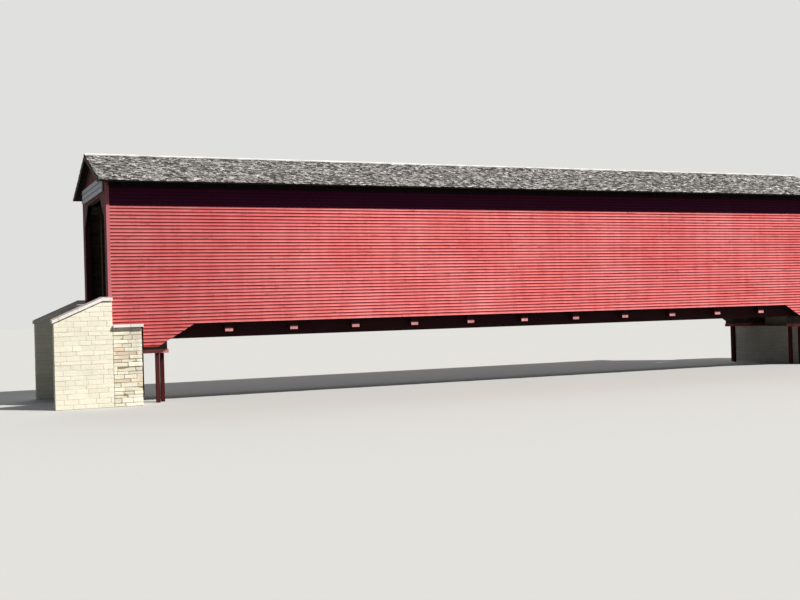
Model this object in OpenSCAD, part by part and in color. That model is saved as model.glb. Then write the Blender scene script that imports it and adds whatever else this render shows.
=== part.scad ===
// Timber covered bridge on stone abutments, carried by two Howe trusses.
// X runs along the road, Y across it, Z up. The origin is at the middle of the base.
// "West" is the -X end, "front" is the -Y side. Heights are set from the siding's bottom edge.

/* [Trusses] */
// Length of one truss panel, panel point to panel point
panel = 2214; // [2000:2:2300]
// Number of truss panels
panels = 13; // [9:2:13]
// Width of one chord or brace stick, of the three side by side
stick_w = 110; // [90:1:120]
// Gap between neighbouring sticks, which the iron rods pass through
stick_gap = 60; // [52:1:80]
// Depth of the lower chord
lower_chord_d = 250; // [230:5:300]
// Depth of the upper chord
upper_chord_d = 250; // [200:5:280]
// Height of the upper chord's top above the siding's bottom edge
truss_top = 4120; // [3900:10:4300]
// Depth of a main brace
main_brace_d = 160; // [140:2:165]
// Depth of a counter brace
counter_brace_d = 130; // [110:2:160]
// Length of an angle block along its chord
angle_block_l = 300; // [290:2:340]
// Radius of a truss rod
rod_r = 19; // [14:0.5:22]
// Length of a washer plate along the chord
washer_l = 200; // [160:5:240]
// Thickness of a washer plate
washer_t = 16; // [12:1:20]
// Width of a rod nut across its corners
nut_w = 76; // [64:1:84]
// Height of a rod nut
nut_h = 30; // [24:1:34]

/* [Side walls] */
// Height of the siding's bottom edge above the base
siding_z = 2500; // [2200:10:2800]
// Width of the bridge over its siding
wall_w = 5020; // [4800:10:5200]
// Distance from the last panel point to the portal's face
end_run = 526; // [480:2:560]
// Height of the siding's top above the tie beams
siding_over = 20; // [0:2:60]
// Thickness of siding, portal and gable boards
board_t = 25; // [18:1:32]
// Drop of the deep siding at the bridge's ends
skirt_drop = 700; // [500:10:720]
// Length of the deep siding's level bottom edge
skirt_flat = 1520; // [1300:10:1600]
// Length that the deep siding's slanted edge takes
skirt_slant = 1190; // [900:10:1400]
// Open slot between the deep siding's end and the abutment's front face
skirt_slot = 120; // [80:5:160]
// Width of a corner board
corner_w = 100; // [80:5:180]
// Thickness of a corner board
corner_t = 20; // [14:1:22]
// Width of a wall stud, along the bridge
stud_w = 100; // [70:5:120]
// Depth of a wall stud, across the bridge
stud_d = 95; // [75:1:100]
// Width of a wall sill, across the bridge
sill_w = 195; // [170:5:220]
// Depth of a wall sill
sill_d = 100; // [80:5:120]

/* [Floor] */
// Distance of the trusses' outer face from the siding's face
truss_inset = 380; // [360:5:390]
// Distance of the floor beams' ends from the siding's face
beam_inset = 150; // [120:5:170]
// Width of a floor beam
beam_w = 260; // [220:5:280]
// Depth of a floor beam
beam_d = 350; // [320:5:380]
// Drop of the floor beams' underside below the siding's bottom edge
beam_drop = 300; // [260:5:320]
// Drop of the lower chords' underside below the siding's bottom edge
chord_drop = 410; // [400:5:430]
// Drop of the chord boards' lower edge below the siding's bottom edge
chord_board_drop = 480; // [470:5:500]
// Number of deck stringers
stringers = 7; // [5:1:9]
// Width of a stringer
stringer_w = 100; // [75:5:130]
// Depth of a stringer
stringer_d = 150; // [120:5:180]
// Thickness of the deck planks
plank_t = 75; // [50:5:90]
// Width and height of a curb
curb_w = 100; // [80:5:105]
// Width of a lateral bracing plank
lateral_w = 150; // [120:5:180]
// Thickness of a lateral bracing plank
lateral_t = 50; // [40:2:60]

/* [Roof] */
// Slope of the roof
roof_pitch = 21.5; // [18:0.5:30]
// Overhang of the eaves past the siding
eave_out = 516; // [420:4:560]
// Overhang of the roof past the portal's face
rake_out = 265; // [200:5:360]
// Thickness of the sheathing with its shingles
roof_t = 60; // [45:1:80]
// Width of a rafter
rafter_w = 75; // [50:5:90]
// Depth of a rafter
rafter_d = 150; // [120:5:170]
// Distance of the rafters' ends from the eave's edge
tail_back = 150; // [100:5:200]
// Width of a tie beam
tie_w = 150; // [120:5:180]
// Depth of a tie beam
tie_d = 180; // [150:5:200]
// Height of a wall plate at its outer edge
plate_d = 176; // [150:2:200]
// Width of a wall plate
plate_w = 100; // [80:5:120]
// Width of each ridge board, measured down the slope
ridge_w = 170; // [120:5:200]
// Thickness of a ridge board
ridge_t = 25; // [18:1:32]
// Depth of a rake board
rake_d = 120; // [90:5:150]
// Thickness of a rake board
rake_t = 25; // [18:1:32]

/* [Portals] */
// Width of a portal jamb, from the siding's face to the opening
jamb_w = 430; // [350:5:460]
// Width of a knee board at the opening's top corner
knee_w = 750; // [500:10:900]
// Height of a knee board
knee_h = 700; // [500:10:900]
// Side of a square portal post
portal_post = 150; // [120:5:150]
// Width of the blank board over the portal
sign_w = 4300; // [3000:10:4300]
// Height of that board
sign_h = 500; // [300:5:500]
// Thickness of that board
sign_t = 60; // [30:1:80]
// Height of that board's lower edge above the opening
sign_up = 95; // [60:5:110]

/* [Supports] */
// Distance from the portal's face to the abutment's front face
seat_l = 925; // [860:5:960]
// Thickness of an abutment's back wall
back_wall_t = 400; // [300:10:500]
// Gap between the portal's face and the back wall
back_gap = 45; // [30:1:60]
// Depth of a bolster
bolster_d = 122; // [100:1:160]
// Length of a bolster
bolster_l = 1885; // [1700:5:1890]
// Height of a bearing block and of a corbel
bearing_h = 388; // [330:2:400]
// Length of a bearing block
bearing_l = 300; // [240:5:320]
// Distance of a corbel's inner end from its bolster's inner end
corbel_in = 45; // [30:5:100]
// Side of a square bent post
bent_post = 120; // [110:2:140]
// Distance from the portal's face to the outer row of bent posts
bent_x = 1550; // [1440:2:1570]
// Distance between the two rows of bent posts
bent_step = 215; // [190:5:230]
// Width of a cheek wall
cheek_w = 380; // [300:5:420]
// Gap between a cheek wall and the siding
cheek_gap = 25; // [25:1:40]
// Height of a cheek cap's top above the siding's bottom edge
cheek_up = 30; // [0:2:90]
// Thickness of a cheek cap
cheek_cap_t = 100; // [80:5:140]
// Overhang of a cheek cap
cheek_cap_out = 100; // [40:5:105]
// Length of a wing wall past the portal's face
wing_l = 1700; // [1200:25:2200]
// Thickness of a wing wall
wing_t = 345; // [250:5:400]
// Length of a wing wall's level top past the portal's face
wing_flat = 250; // [200:10:600]
// Length by which a wing wall covers the siding's end
wing_lap = 45; // [30:5:80]
// Height of a wing wall's level top above the siding's bottom edge
wing_up = 860; // [600:10:1000]
// Height of a wing wall's outer end above the siding's bottom edge
wing_low = 230; // [100:10:400]
// Thickness of a coping stone
coping_t = 110; // [80:5:140]
// Overhang of a coping stone
coping_out = 40; // [20:2:40]

/* [Hidden] */

barn_red = "#9c3a37";
shade_red = "#6e2626";
bare_timber = "#7a6552";
limestone = "#d8cba6";
weathered = "#6f6a64";
iron = "#3a3836";

// Gap left between two solids of one node that would otherwise meet
joint_gap = 6;

// Ends along the bridge
truss_half = panels * panel / 2;
wall_half_l = truss_half + end_run;
frame_half_l = wall_half_l - board_t;
roof_half_l = wall_half_l + rake_out;
back_wall_x = wall_half_l + back_gap;
abutment_x = wall_half_l - seat_l;
wing_in_x = wall_half_l - wing_lap;
wing_out_x = wall_half_l + wing_l;
skirt_flat_x = wall_half_l - skirt_flat;
skirt_end_x = abutment_x - skirt_slot;

// Places across the bridge
wall_half_w = wall_w / 2;
frame_half_w = wall_half_w - board_t;
truss_w = 3 * stick_w + 2 * stick_gap;
truss_out_y = wall_half_w - truss_inset;
truss_in_y = truss_out_y - truss_w;
truss_y = truss_out_y - truss_w / 2;
stick_step = stick_w + stick_gap;
beam_half_l = wall_half_w - beam_inset;
opening_half = wall_half_w - jamb_w;
deck_half_w = truss_in_y - 20;
cheek_in_y = wall_half_w + cheek_gap;
cheek_out_y = cheek_in_y + cheek_w;
wing_in_y = cheek_out_y - wing_t;
eave_y = wall_half_w + eave_out;

// Levels
chord_low_z = siding_z - chord_drop;
chord_top_z = chord_low_z + lower_chord_d;
upper_top_z = siding_z + truss_top;
upper_low_z = upper_top_z - upper_chord_d;
beam_low_z = siding_z - beam_drop;
beam_top_z = beam_low_z + beam_d;
stringer_top_z = beam_top_z + stringer_d;
deck_z = stringer_top_z + plank_t;
skirt_z = siding_z - skirt_drop;
tie_top_z = upper_top_z + tie_d;
bolster_top_z = chord_low_z - bearing_h;
seat_z = bolster_top_z - bolster_d;
cheek_top_z = siding_z + cheek_up;
opening_top_z = upper_top_z;

// Heights of the roof's layers over a point at y across the bridge
roof_rise = tan(roof_pitch);
function rafter_low(y) = tie_top_z + plate_d + roof_rise * (frame_half_w - y);
function roof_low(y) = rafter_low(y) + rafter_d / cos(roof_pitch);
function roof_high(y) = roof_low(y) + roof_t / cos(roof_pitch);

// Angle block whose faces are square to the braces that bear on them
truss_clear_h = upper_low_z - chord_top_z;
block_c = angle_block_l / 2 * (panel - angle_block_l / 2);
angle_block_h = (truss_clear_h - sqrt(pow(truss_clear_h, 2) - 4 * block_c)) / 2;
brace_dx = panel - angle_block_l / 2;
brace_dz = truss_clear_h - angle_block_h;
brace_angle = atan2(brace_dz, brace_dx);
brace_l = norm([brace_dx, brace_dz]);

function panel_point(i) = (i - panels / 2) * panel;

// Places along the bridge of what repeats
bay_half = (panels - 1) / 2;
mid_bays = [for (k = [-bay_half:bay_half]) k * panel];
end_beam_x = frame_half_l - beam_w / 2;
beam_places = concat([-end_beam_x], mid_bays, [end_beam_x]);
end_tie_x = frame_half_l - tie_w / 2;
tie_places = concat([-end_tie_x], mid_bays, [end_tie_x]);
stud_step = panel / 2;
end_stud_x = frame_half_l - stud_w / 2;
mid_studs = [for (k = [-panels:panels - 1]) (k + 0.5) * stud_step];
stud_places = concat([-end_stud_x], mid_studs, [end_stud_x]);
end_rafter_x = frame_half_l - rafter_w / 2;
mid_rafters = [for (k = [-panels:panels]) k * stud_step];
rafter_places = concat([-end_rafter_x], mid_rafters, [end_rafter_x]);
hanger_places = [mid_studs[2 * panels - 2], skirt_flat_x, skirt_end_x - stud_w / 2];

// Height of the deep siding's lower edge at x along the bridge
function skirt_low(x) = skirt_z + max(0, skirt_flat_x - x) * skirt_drop / skirt_slant;

module block(low, high) translate(low) cube(high - low);

module both_ends() {
    children();
    mirror([1, 0, 0]) children();
}

module both_sides() {
    children();
    mirror([0, 1, 0]) children();
}

module four_corners() both_ends() both_sides() children();

// A shape drawn with x along the bridge and z up, run across the bridge
module run_across(from, to)
    translate([0, to, 0]) rotate([90, 0, 0]) linear_extrude(to - from) children();

// A shape drawn with y across the bridge and z up, run along the bridge
module run_along(from, to)
    translate([from, 0, 0]) rotate([90, 0, 90]) linear_extrude(to - from) children();

// Stonework
module breast_wall()
    block([abutment_x, -cheek_in_y, 0], [back_wall_x, cheek_in_y, seat_z]);

module abutment_west() color(limestone) mirror([1, 0, 0]) breast_wall();

module abutment_east() color(limestone) breast_wall();

module back_walls() color(limestone) both_ends()
    block([back_wall_x, -wing_in_y, 0], [back_wall_x + back_wall_t, wing_in_y, deck_z]);

module wing_walls() {
    top = siding_z + wing_up - coping_t;
    low = siding_z + wing_low - coping_t;
    bend = wall_half_l + wing_flat;
    color(limestone) four_corners()
        run_across(wing_in_y, cheek_out_y)
            polygon([
                [wing_in_x, 0], [wing_out_x, 0], [wing_out_x, low], [bend, top], [wing_in_x, top]
            ]);
}

module wing_copings() {
    in_x = wing_in_x - coping_out / 2;
    top = siding_z + wing_up;
    low = siding_z + wing_low;
    bend = wall_half_l + wing_flat;
    fall = (top - low) / (wing_out_x - bend);
    end_x = wing_out_x + coping_out;
    end_z = low - fall * coping_out;
    start_x = bend + joint_gap;
    start_z = top - fall * joint_gap;
    color(limestone) four_corners()
        run_across(wing_in_y - coping_out, cheek_out_y + coping_out) {
            polygon([
                [in_x, top - coping_t], [bend, top - coping_t], [bend, top], [in_x, top]
            ]);
            polygon([
                [start_x, start_z - coping_t], [end_x, end_z - coping_t],
                [end_x, end_z], [start_x, start_z]
            ]);
        }
}

module cheek_walls() color(limestone) four_corners()
    block([abutment_x, cheek_in_y, 0], [wing_in_x, cheek_out_y, cheek_top_z - cheek_cap_t]);

module cheek_caps() color(limestone) four_corners()
    block(
        [abutment_x - cheek_cap_out / 2, cheek_in_y, cheek_top_z - cheek_cap_t],
        [wing_in_x, cheek_out_y + cheek_cap_out, cheek_top_z]
    );

// Timber supports under each end of each truss
module bolsters() color(shade_red) four_corners()
    block([frame_half_l - bolster_l, truss_in_y, seat_z], [frame_half_l, truss_out_y, bolster_top_z]);

module bent_posts() color(shade_red) four_corners()
    for (row = [0, 1])
        translate([wall_half_l - bent_x - row * bent_step - bent_post / 2, 0, 0])
            block(
                [0, row == 0 ? truss_out_y - bent_post : truss_in_y, 0],
                [bent_post, row == 0 ? truss_out_y : truss_in_y + bent_post, seat_z]
            );

// A block at each chord's end, and a corbel from the abutment out over the bent
module bearing_blocks() {
    corbel = [frame_half_l - bolster_l + corbel_in, truss_half - (washer_l + bearing_l) / 2];
    color(bare_timber) four_corners()
        for (x = [corbel, [frame_half_l - bearing_l, frame_half_l]])
            block([x[0], truss_in_y, bolster_top_z], [x[1], truss_out_y, chord_low_z]);
}

// Howe trusses
module truss_sticks(half_l, low_z, high_z)
    both_sides() for (row = [-1:1])
        translate([0, truss_y + row * stick_step, 0])
            block([-half_l, -stick_w / 2, low_z], [half_l, stick_w / 2, high_z]);

module lower_chords() color(shade_red) truss_sticks(frame_half_l, chord_low_z, chord_top_z);

module upper_chords() color(bare_timber)
    truss_sticks(truss_half + angle_block_l, upper_low_z, upper_top_z);

// A brace of panel i, from the lower block on its left to the upper one on its right
module brace(i, depth)
    translate([panel_point(i) + angle_block_l / 4, 0, chord_top_z + angle_block_h / 2])
        rotate([0, -brace_angle, 0])
            translate([0, -stick_w / 2, -depth / 2]) cube([brace_l, stick_w, depth]);

// Main braces rise towards the middle of the bridge, counter braces rise away from it
module leaning(i, towards_middle)
    if ((i < panels / 2) == towards_middle)
        children();
    else
        translate([panel_point(i) + panel_point(i + 1), 0, 0]) mirror([1, 0, 0]) children();

module main_braces() color(bare_timber) both_sides()
    for (i = [0:panels - 1])
        leaning(i, true)
            for (row = [-1, 1])
                translate([0, truss_y + row * stick_step, 0]) brace(i, main_brace_d);

module counter_braces() color(bare_timber) both_sides()
    for (i = [0:panels - 1])
        leaning(i, false) translate([0, truss_y, 0]) brace(i, counter_brace_d);

// Places of the two rods at every panel point
module rod_places()
    both_sides() for (i = [0:panels], row = [-0.5, 0.5])
        translate([panel_point(i), truss_y + row * stick_step, 0]) children();

module truss_rods() color(iron) rod_places()
    translate([0, 0, chord_low_z]) cylinder(r = rod_r, h = upper_top_z - chord_low_z, $fn = 32);

module washer_plates() color(iron) both_sides()
    for (i = [0:panels], z = [chord_low_z - washer_t, upper_top_z])
        block(
            [panel_point(i) - washer_l / 2, truss_in_y, z],
            [panel_point(i) + washer_l / 2, truss_out_y, z + washer_t]
        );

module rod_nuts() color(iron) rod_places()
    for (z = [chord_low_z - washer_t - nut_h, upper_top_z + washer_t])
        translate([0, 0, z]) cylinder(d = nut_w, h = nut_h, $fn = 6);

module angle_blocks() color(iron) both_sides()
    for (i = [0:panels], row = [-1:1])
        run_across(
            truss_y + row * stick_step - stick_w / 2,
            truss_y + row * stick_step + stick_w / 2
        ) translate([panel_point(i), 0]) {
            translate([0, chord_top_z]) angle_block_profile();
            translate([0, upper_low_z]) mirror([0, 1]) angle_block_profile();
        }

module angle_block_profile()
    polygon([[-angle_block_l / 2, 0], [angle_block_l / 2, 0], [0, angle_block_h]]);

// Floor, notched down over the lower chords
module floor_beams() color(shade_red)
    for (x = beam_places)
        run_along(x - beam_w / 2, x + beam_w / 2)
            difference() {
                translate([-beam_half_l, beam_low_z]) square([2 * beam_half_l, beam_d]);
                for (side = [-1, 1])
                    translate([side * truss_y - truss_w / 2, beam_low_z])
                        square([truss_w, chord_top_z - beam_low_z]);
            }

module stringers() {
    step = 2 * (deck_half_w - stringer_w) / (stringers - 1);
    color(bare_timber)
        for (k = [0:stringers - 1])
            translate([0, stringer_w - deck_half_w + k * step, 0])
                block(
                    [-frame_half_l, -stringer_w / 2, beam_top_z],
                    [frame_half_l, stringer_w / 2, stringer_top_z]
                );
}

module deck() {
    half_l = back_wall_x - joint_gap;
    color(bare_timber)
        block([-half_l, -deck_half_w, stringer_top_z], [half_l, deck_half_w, deck_z]);
}

module curbs() color(bare_timber) both_sides()
    block(
        [-wall_half_l, deck_half_w - curb_w, deck_z], [wall_half_l, deck_half_w, deck_z + curb_w]
    );

// Boards on the lower chords' outer face, the upper ones between the floor beams
module chord_boards() {
    low_z = siding_z - chord_board_drop;
    out_y = truss_out_y + board_t;
    reach = beam_w / 2 + joint_gap;
    color(shade_red) both_sides() {
        block([-frame_half_l, truss_out_y, low_z], [frame_half_l, out_y, beam_low_z - joint_gap]);
        for (i = [0:len(beam_places) - 2])
            block(
                [beam_places[i] + reach, truss_out_y, beam_low_z],
                [beam_places[i + 1] - reach, out_y, beam_top_z]
            );
    }
}

// One diagonal plank across each bay between floor beams, rising or falling from front to back
module laterals(low_z, rising) {
    angle = atan2(2 * truss_in_y, panel);
    for (k = [-bay_half:bay_half - 1])
        intersection() {
            translate([(k + 0.5) * panel, 0, low_z])
                rotate([0, 0, rising ? angle : -angle])
                    translate([-2 * truss_in_y, -lateral_w / 2, 0])
                        cube([4 * truss_in_y, lateral_w, lateral_t]);
            block(
                [k * panel, -truss_in_y, low_z - 1],
                [(k + 1) * panel, truss_in_y, low_z + lateral_t + 1]
            );
        }
}

module lower_laterals_rising() color(shade_red) laterals(beam_low_z - lateral_t, true);

module lower_laterals_falling() color(shade_red) laterals(beam_low_z - 2 * lateral_t, false);

module upper_laterals_rising() color(bare_timber) laterals(upper_top_z - lateral_t, true);

module upper_laterals_falling() color(bare_timber) laterals(upper_top_z - 2 * lateral_t, false);

// Side walls
module wall_sills() color(bare_timber) both_sides()
    block(
        [-frame_half_l, frame_half_w - sill_w, beam_top_z],
        [frame_half_l, frame_half_w, beam_top_z + sill_d]
    );

module wall_studs() color(bare_timber) both_sides()
    for (x = stud_places)
        block(
            [x - stud_w / 2, frame_half_w - stud_d, beam_top_z + sill_d],
            [x + stud_w / 2, frame_half_w, abs(x) > truss_half ? upper_top_z : tie_top_z]
        );

module wall_plates() color(bare_timber) both_sides()
    run_along(-frame_half_l, frame_half_l)
        polygon([
            [frame_half_w - plate_w, tie_top_z], [frame_half_w, tie_top_z],
            [frame_half_w, rafter_low(frame_half_w)],
            [frame_half_w - plate_w, rafter_low(frame_half_w - plate_w)]
        ]);

module siding_wall()
    block(
        [-frame_half_l, -wall_half_w, siding_z],
        [frame_half_l, -frame_half_w, tie_top_z + siding_over]
    );

module siding_front() color(barn_red) siding_wall();

module siding_back() color(barn_red) mirror([0, 1, 0]) siding_wall();

module skirts() color(barn_red) four_corners()
    run_across(frame_half_w, wall_half_w)
        polygon([
            [skirt_flat_x - skirt_slant, siding_z], [skirt_flat_x, skirt_z],
            [skirt_end_x, skirt_z], [skirt_end_x, siding_z]
        ]);

// Uprights that hang from the wall sill behind the deep siding, cut off at its edge
module skirt_hangers() color(bare_timber) four_corners()
    for (x = hanger_places)
        run_across(frame_half_w - stud_d, frame_half_w)
            polygon([
                [x - stud_w / 2, skirt_low(x - stud_w / 2)], [x + stud_w / 2, skirt_low(x + stud_w / 2)],
                [x + stud_w / 2, beam_top_z], [x - stud_w / 2, beam_top_z]
            ]);

module corner_boards() color(barn_red) four_corners()
    block(
        [wall_half_l - corner_w, wall_half_w, siding_z],
        [wall_half_l, wall_half_w + corner_t, rafter_low(wall_half_w + corner_t)]
    );

// Portals
module portal_posts() color(shade_red) four_corners()
    block(
        [frame_half_l - portal_post, opening_half, beam_top_z],
        [frame_half_l, opening_half + portal_post, upper_top_z]
    );

module jamb_boards() color(shade_red) four_corners()
    block(
        [frame_half_l, opening_half, skirt_z],
        [wall_half_l, wall_half_w, opening_top_z]
    );

module knee_boards() color(shade_red) four_corners()
    run_along(frame_half_l, wall_half_l)
        polygon([
            [opening_half, opening_top_z - knee_h], [opening_half, opening_top_z],
            [opening_half - knee_w, opening_top_z]
        ]);

module gable_boards() color(shade_red) both_ends()
    run_along(frame_half_l, wall_half_l)
        polygon([
            [-wall_half_w, opening_top_z], [wall_half_w, opening_top_z],
            [wall_half_w, roof_low(wall_half_w)], [0, roof_low(0)],
            [-wall_half_w, roof_low(wall_half_w)]
        ]);

module sign_boards() color("#b9bcc2") both_ends()
    block(
        [wall_half_l, -sign_w / 2, opening_top_z + sign_up],
        [wall_half_l + sign_t, sign_w / 2, opening_top_z + sign_up + sign_h]
    );

// Roof frame and roof
module tie_beams() color(bare_timber)
    for (x = tie_places)
        block([x - tie_w / 2, -frame_half_w, upper_top_z], [x + tie_w / 2, frame_half_w, tie_top_z]);

module rafters() {
    tail_y = eave_y - tail_back;
    color(bare_timber)
        for (x = rafter_places)
            run_along(x - rafter_w / 2, x + rafter_w / 2)
                polygon([
                    [0, rafter_low(0)], [tail_y, rafter_low(tail_y)],
                    [tail_y, roof_low(tail_y)], [0, roof_low(0)]
                ]);
}

module rafters_front() mirror([0, 1, 0]) rafters();

module rafters_back() rafters();

module roof_slope() color(weathered)
    run_along(-roof_half_l, roof_half_l)
        polygon([
            [0, roof_low(0)], [eave_y, roof_low(eave_y)], [eave_y, roof_high(eave_y)],
            [0, roof_high(0)]
        ]);

module roof_front() mirror([0, 1, 0]) roof_slope();

module roof_back() roof_slope();

module ridge_cap() {
    out_y = ridge_w * cos(roof_pitch);
    thick = ridge_t / cos(roof_pitch);
    color(weathered)
        run_along(-roof_half_l, roof_half_l)
            polygon([
                [0, roof_high(0)], [out_y, roof_high(out_y)], [out_y, roof_high(out_y) + thick],
                [0, roof_high(0) + thick],
                [-out_y, roof_high(out_y) + thick], [-out_y, roof_high(out_y)]
            ]);
}

// Each rake board's lower end is cut off level
module rake_boards() {
    start_y = joint_gap / 2;
    end_y = eave_y - roof_t / 2;
    depth = rake_d / cos(roof_pitch);
    cut_y = end_y - depth / roof_rise;
    color(bare_timber) four_corners()
        run_along(roof_half_l - rake_t, roof_half_l)
            polygon([
                [start_y, roof_low(start_y) - depth], [cut_y, roof_low(cut_y) - depth],
                [end_y, roof_low(end_y)], [start_y, roof_low(start_y)]
            ]);
}

abutment_west();
abutment_east();
back_walls();
wing_walls();
wing_copings();
cheek_walls();
cheek_caps();
bolsters();
bent_posts();
bearing_blocks();
lower_chords();
upper_chords();
main_braces();
counter_braces();
truss_rods();
washer_plates();
rod_nuts();
angle_blocks();
floor_beams();
stringers();
deck();
curbs();
chord_boards();
lower_laterals_rising();
lower_laterals_falling();
tie_beams();
upper_laterals_rising();
upper_laterals_falling();
wall_sills();
wall_studs();
wall_plates();
siding_front();
siding_back();
skirts();
skirt_hangers();
corner_boards();
portal_posts();
jamb_boards();
knee_boards();
gable_boards();
sign_boards();
rafters_front();
rafters_back();
roof_front();
roof_back();
ridge_cap();
rake_boards();
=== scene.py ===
"""Looks of a timber covered bridge on stone abutments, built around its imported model."""

import math
from types import SimpleNamespace

import bmesh
import bpy
from bpy.props import FloatProperty, FloatVectorProperty, IntProperty, PointerProperty
from mathutils import Matrix, Vector


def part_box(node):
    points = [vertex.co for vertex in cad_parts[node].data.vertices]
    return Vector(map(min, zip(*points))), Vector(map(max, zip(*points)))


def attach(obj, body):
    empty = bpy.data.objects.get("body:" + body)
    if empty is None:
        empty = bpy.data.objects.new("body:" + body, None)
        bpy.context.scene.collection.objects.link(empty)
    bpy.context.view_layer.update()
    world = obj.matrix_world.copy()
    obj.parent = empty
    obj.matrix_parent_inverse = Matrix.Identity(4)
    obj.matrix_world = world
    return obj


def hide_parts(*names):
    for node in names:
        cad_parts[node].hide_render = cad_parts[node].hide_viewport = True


bl_info = {
    "name": "Covered Bridge",
    "version": (1, 0, 0),
    "blender": (4, 5, 0),
    "location": "View3D > Sidebar > Covered Bridge",
    "description": "Clapboards, shingles, stonework, finishes and a stage for a covered bridge",
    "category": "Object",
}

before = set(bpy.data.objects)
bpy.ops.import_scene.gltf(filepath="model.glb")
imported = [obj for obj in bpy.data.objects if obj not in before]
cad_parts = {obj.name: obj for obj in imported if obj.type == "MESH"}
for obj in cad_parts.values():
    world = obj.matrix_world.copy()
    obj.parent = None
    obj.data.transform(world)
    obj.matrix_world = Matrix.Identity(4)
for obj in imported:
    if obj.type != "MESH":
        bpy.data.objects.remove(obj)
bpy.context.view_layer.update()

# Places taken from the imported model, in metres like every other length here
SIDING_LOW, SIDING_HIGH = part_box("siding_front")
SKIRT_LOW, SKIRT_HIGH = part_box("skirts")
ROOF_LOW, ROOF_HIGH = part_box("roof_front")
WALL_OUT = -SIDING_LOW.y
WALL_HALF_L = SIDING_HIGH.x
PORTAL_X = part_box("jamb_boards")[1].x
ROOF_HALF_L = ROOF_HIGH.x
TRUSS_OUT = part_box("lower_chords")[1].y

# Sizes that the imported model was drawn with
PANEL = 2.214
PANELS = 13
STUD_STEP = PANEL / 2
TRUSS_W = 0.45
STICK_STEP = 0.17
ROD_R = 0.019
ROOF_PITCH = math.radians(21.5)
ROOF_T = 0.060
SLOPE_L = -ROOF_LOW.y / math.cos(ROOF_PITCH)
ROOF_UNDER_PEAK = ROOF_HIGH.z - ROOF_T / math.cos(ROOF_PITCH)
LATERAL_TURN = math.atan2(2 * (TRUSS_OUT - TRUSS_W), PANEL)
BRACE_TURN = math.radians(62.4)

# How far the clapboards stand out of the plain siding, so that their backs clear the studs
SIDING_PROUD = 0.006
# Height on the siding above which the eaves' shade is painted on it
EAVE_PAINTED_SHADE_Z = 6.22
SHEATHING_T = 0.025
RIDGE_BOARD_T = 0.025
# A board, a course, a shingle or a stone that would be no longer than this is left out
LEAST_BOARD, LEAST_COURSE, LEAST_SHINGLE, LEAST_STONE = 0.08, 0.012, 0.03, 0.04
# How many courses a shingle is long, how far the first may hang over the eave, and how far the
# lower edge of one that leans rises across its width
SHINGLE_COURSES = 2.2
SHINGLE_OVERHANG = 0.006
SHINGLE_LEAN = 0.012
SIGN_BOARD_T = 0.028
# The battens behind a sign, by how much their row is narrower than it, and how far each of them
# ends inside it
BATTENS = 5
BATTEN_HALF_W = 0.045
BATTENS_SHORT = 0.3
BATTEN_SHORT = 0.01
# How far the mortar lies behind the stones' faces
MORTAR_INSET = 0.011
# How much lower the stones of the wing walls end than their solids, for the coping's bed
COPING_BED = 0.014
# Rise of the copings' tops for each metre from the outer face, so that rain runs off outwards
COPING_FALL = 0.09
# What the coping's lengths have to spare at the bend, and how far each is cut short of the mitre
COPING_SPARE = 0.05
MITRE_SHORT = 0.002
# How far the coping's plumb end stands past its solid
COPING_END = 0.004
THREAD_L = 0.012
THREAD_R = 0.0185

# What each kind of part adds to the seed, so that no two are drawn alike
SEEDS = {
    "skirt": 7, "sheathing": 20, "shingle": 30, "ridge": 40, "gable": 50, "jamb": 60, "knee": 70,
    "sign": 80, "deck": 90, "stone": 100,
}

# The photographed view: the camera's turn in degrees, right of +Y, upwards and anticlockwise,
# its place and its lens
CAMERA_TURN = {"yaw": 23.858, "pitch": 0.561, "roll": -1.644}
CAMERA_PLACE = (-20.441, -37.351, 2.705)
LENS_MM = 49.5
FLOOR_HALF = 400.0

HALF_TURN = Matrix.Rotation(math.pi, 4, "Z")
ENDS = (Matrix(), HALF_TURN)
SIDES = {"front": Matrix(), "back": HALF_TURN}
# Directions up the front slope of the roof, and out of it
UP_SLOPE = Vector((0, math.cos(ROOF_PITCH), math.sin(ROOF_PITCH)))
OFF_SLOPE = Vector((0, -math.sin(ROOF_PITCH), math.cos(ROOF_PITCH)))


def metres(name, default, description):
    """A length that a user can change."""
    return FloatProperty(name=name, description=description, default=default, min=0, unit="LENGTH")


def swatch(name, code):
    """A colour that a user can change. Its default is written as six hexadecimal digits."""
    shares = [int(code[k:k + 2], 16) / 255 for k in (0, 2, 4)]
    linear = [s / 12.92 if s <= 0.04045 else ((s + 0.055) / 1.055) ** 2.4 for s in shares]
    return FloatVectorProperty(
        name=name, description=f"Colour of the {name.lower()}", subtype="COLOR", size=3,
        min=0, max=1, default=linear,
    )


class BridgeSizes(bpy.types.PropertyGroup):
    """Sizes of the boards, shingles and stones."""

    clapboard: metres("Clapboard", 0.108, "Height of each clapboard that shows")
    clapboard_lap: metres("Lap", 0.025, "Height that the next clapboard covers")
    clapboard_butt: metres("Butt", 0.020, "Thickness of a clapboard's lower edge")
    clapboard_lift: metres("Lift", 0.008, "How far a warped lower edge stands off")
    board_length: metres("Board length", 4.428, "Length of one run of boarding")
    portal_board: metres("Portal board", 0.20, "Width of the boards of the portals")
    shingle: metres("Shingle exposure", 0.127, "Length of each shingle that shows")
    shingle_width: metres("Shingle width", 0.11, "Mean width of a shingle")
    shingle_butt: metres("Shingle butt", 0.015, "Thickness of a shingle's lower edge")
    deck_plank: metres("Deck plank", 0.24, "Mean width of a deck plank")
    course: metres("Stone course", 0.15, "Mean height of a course of stones")
    rough_course: metres("Rough course", 0.12, "Mean height of the cheek walls' courses")
    stone: metres("Stone length", 0.46, "Mean length of a stone")
    joint: metres("Joint", 0.007, "Width of a joint between stones")
    nail_radius: metres("Nail radius", 0.0045, "Radius of a nail's head")
    seed: IntProperty(name="Seed", description="Changes every random draw", default=3, min=0)


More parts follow.
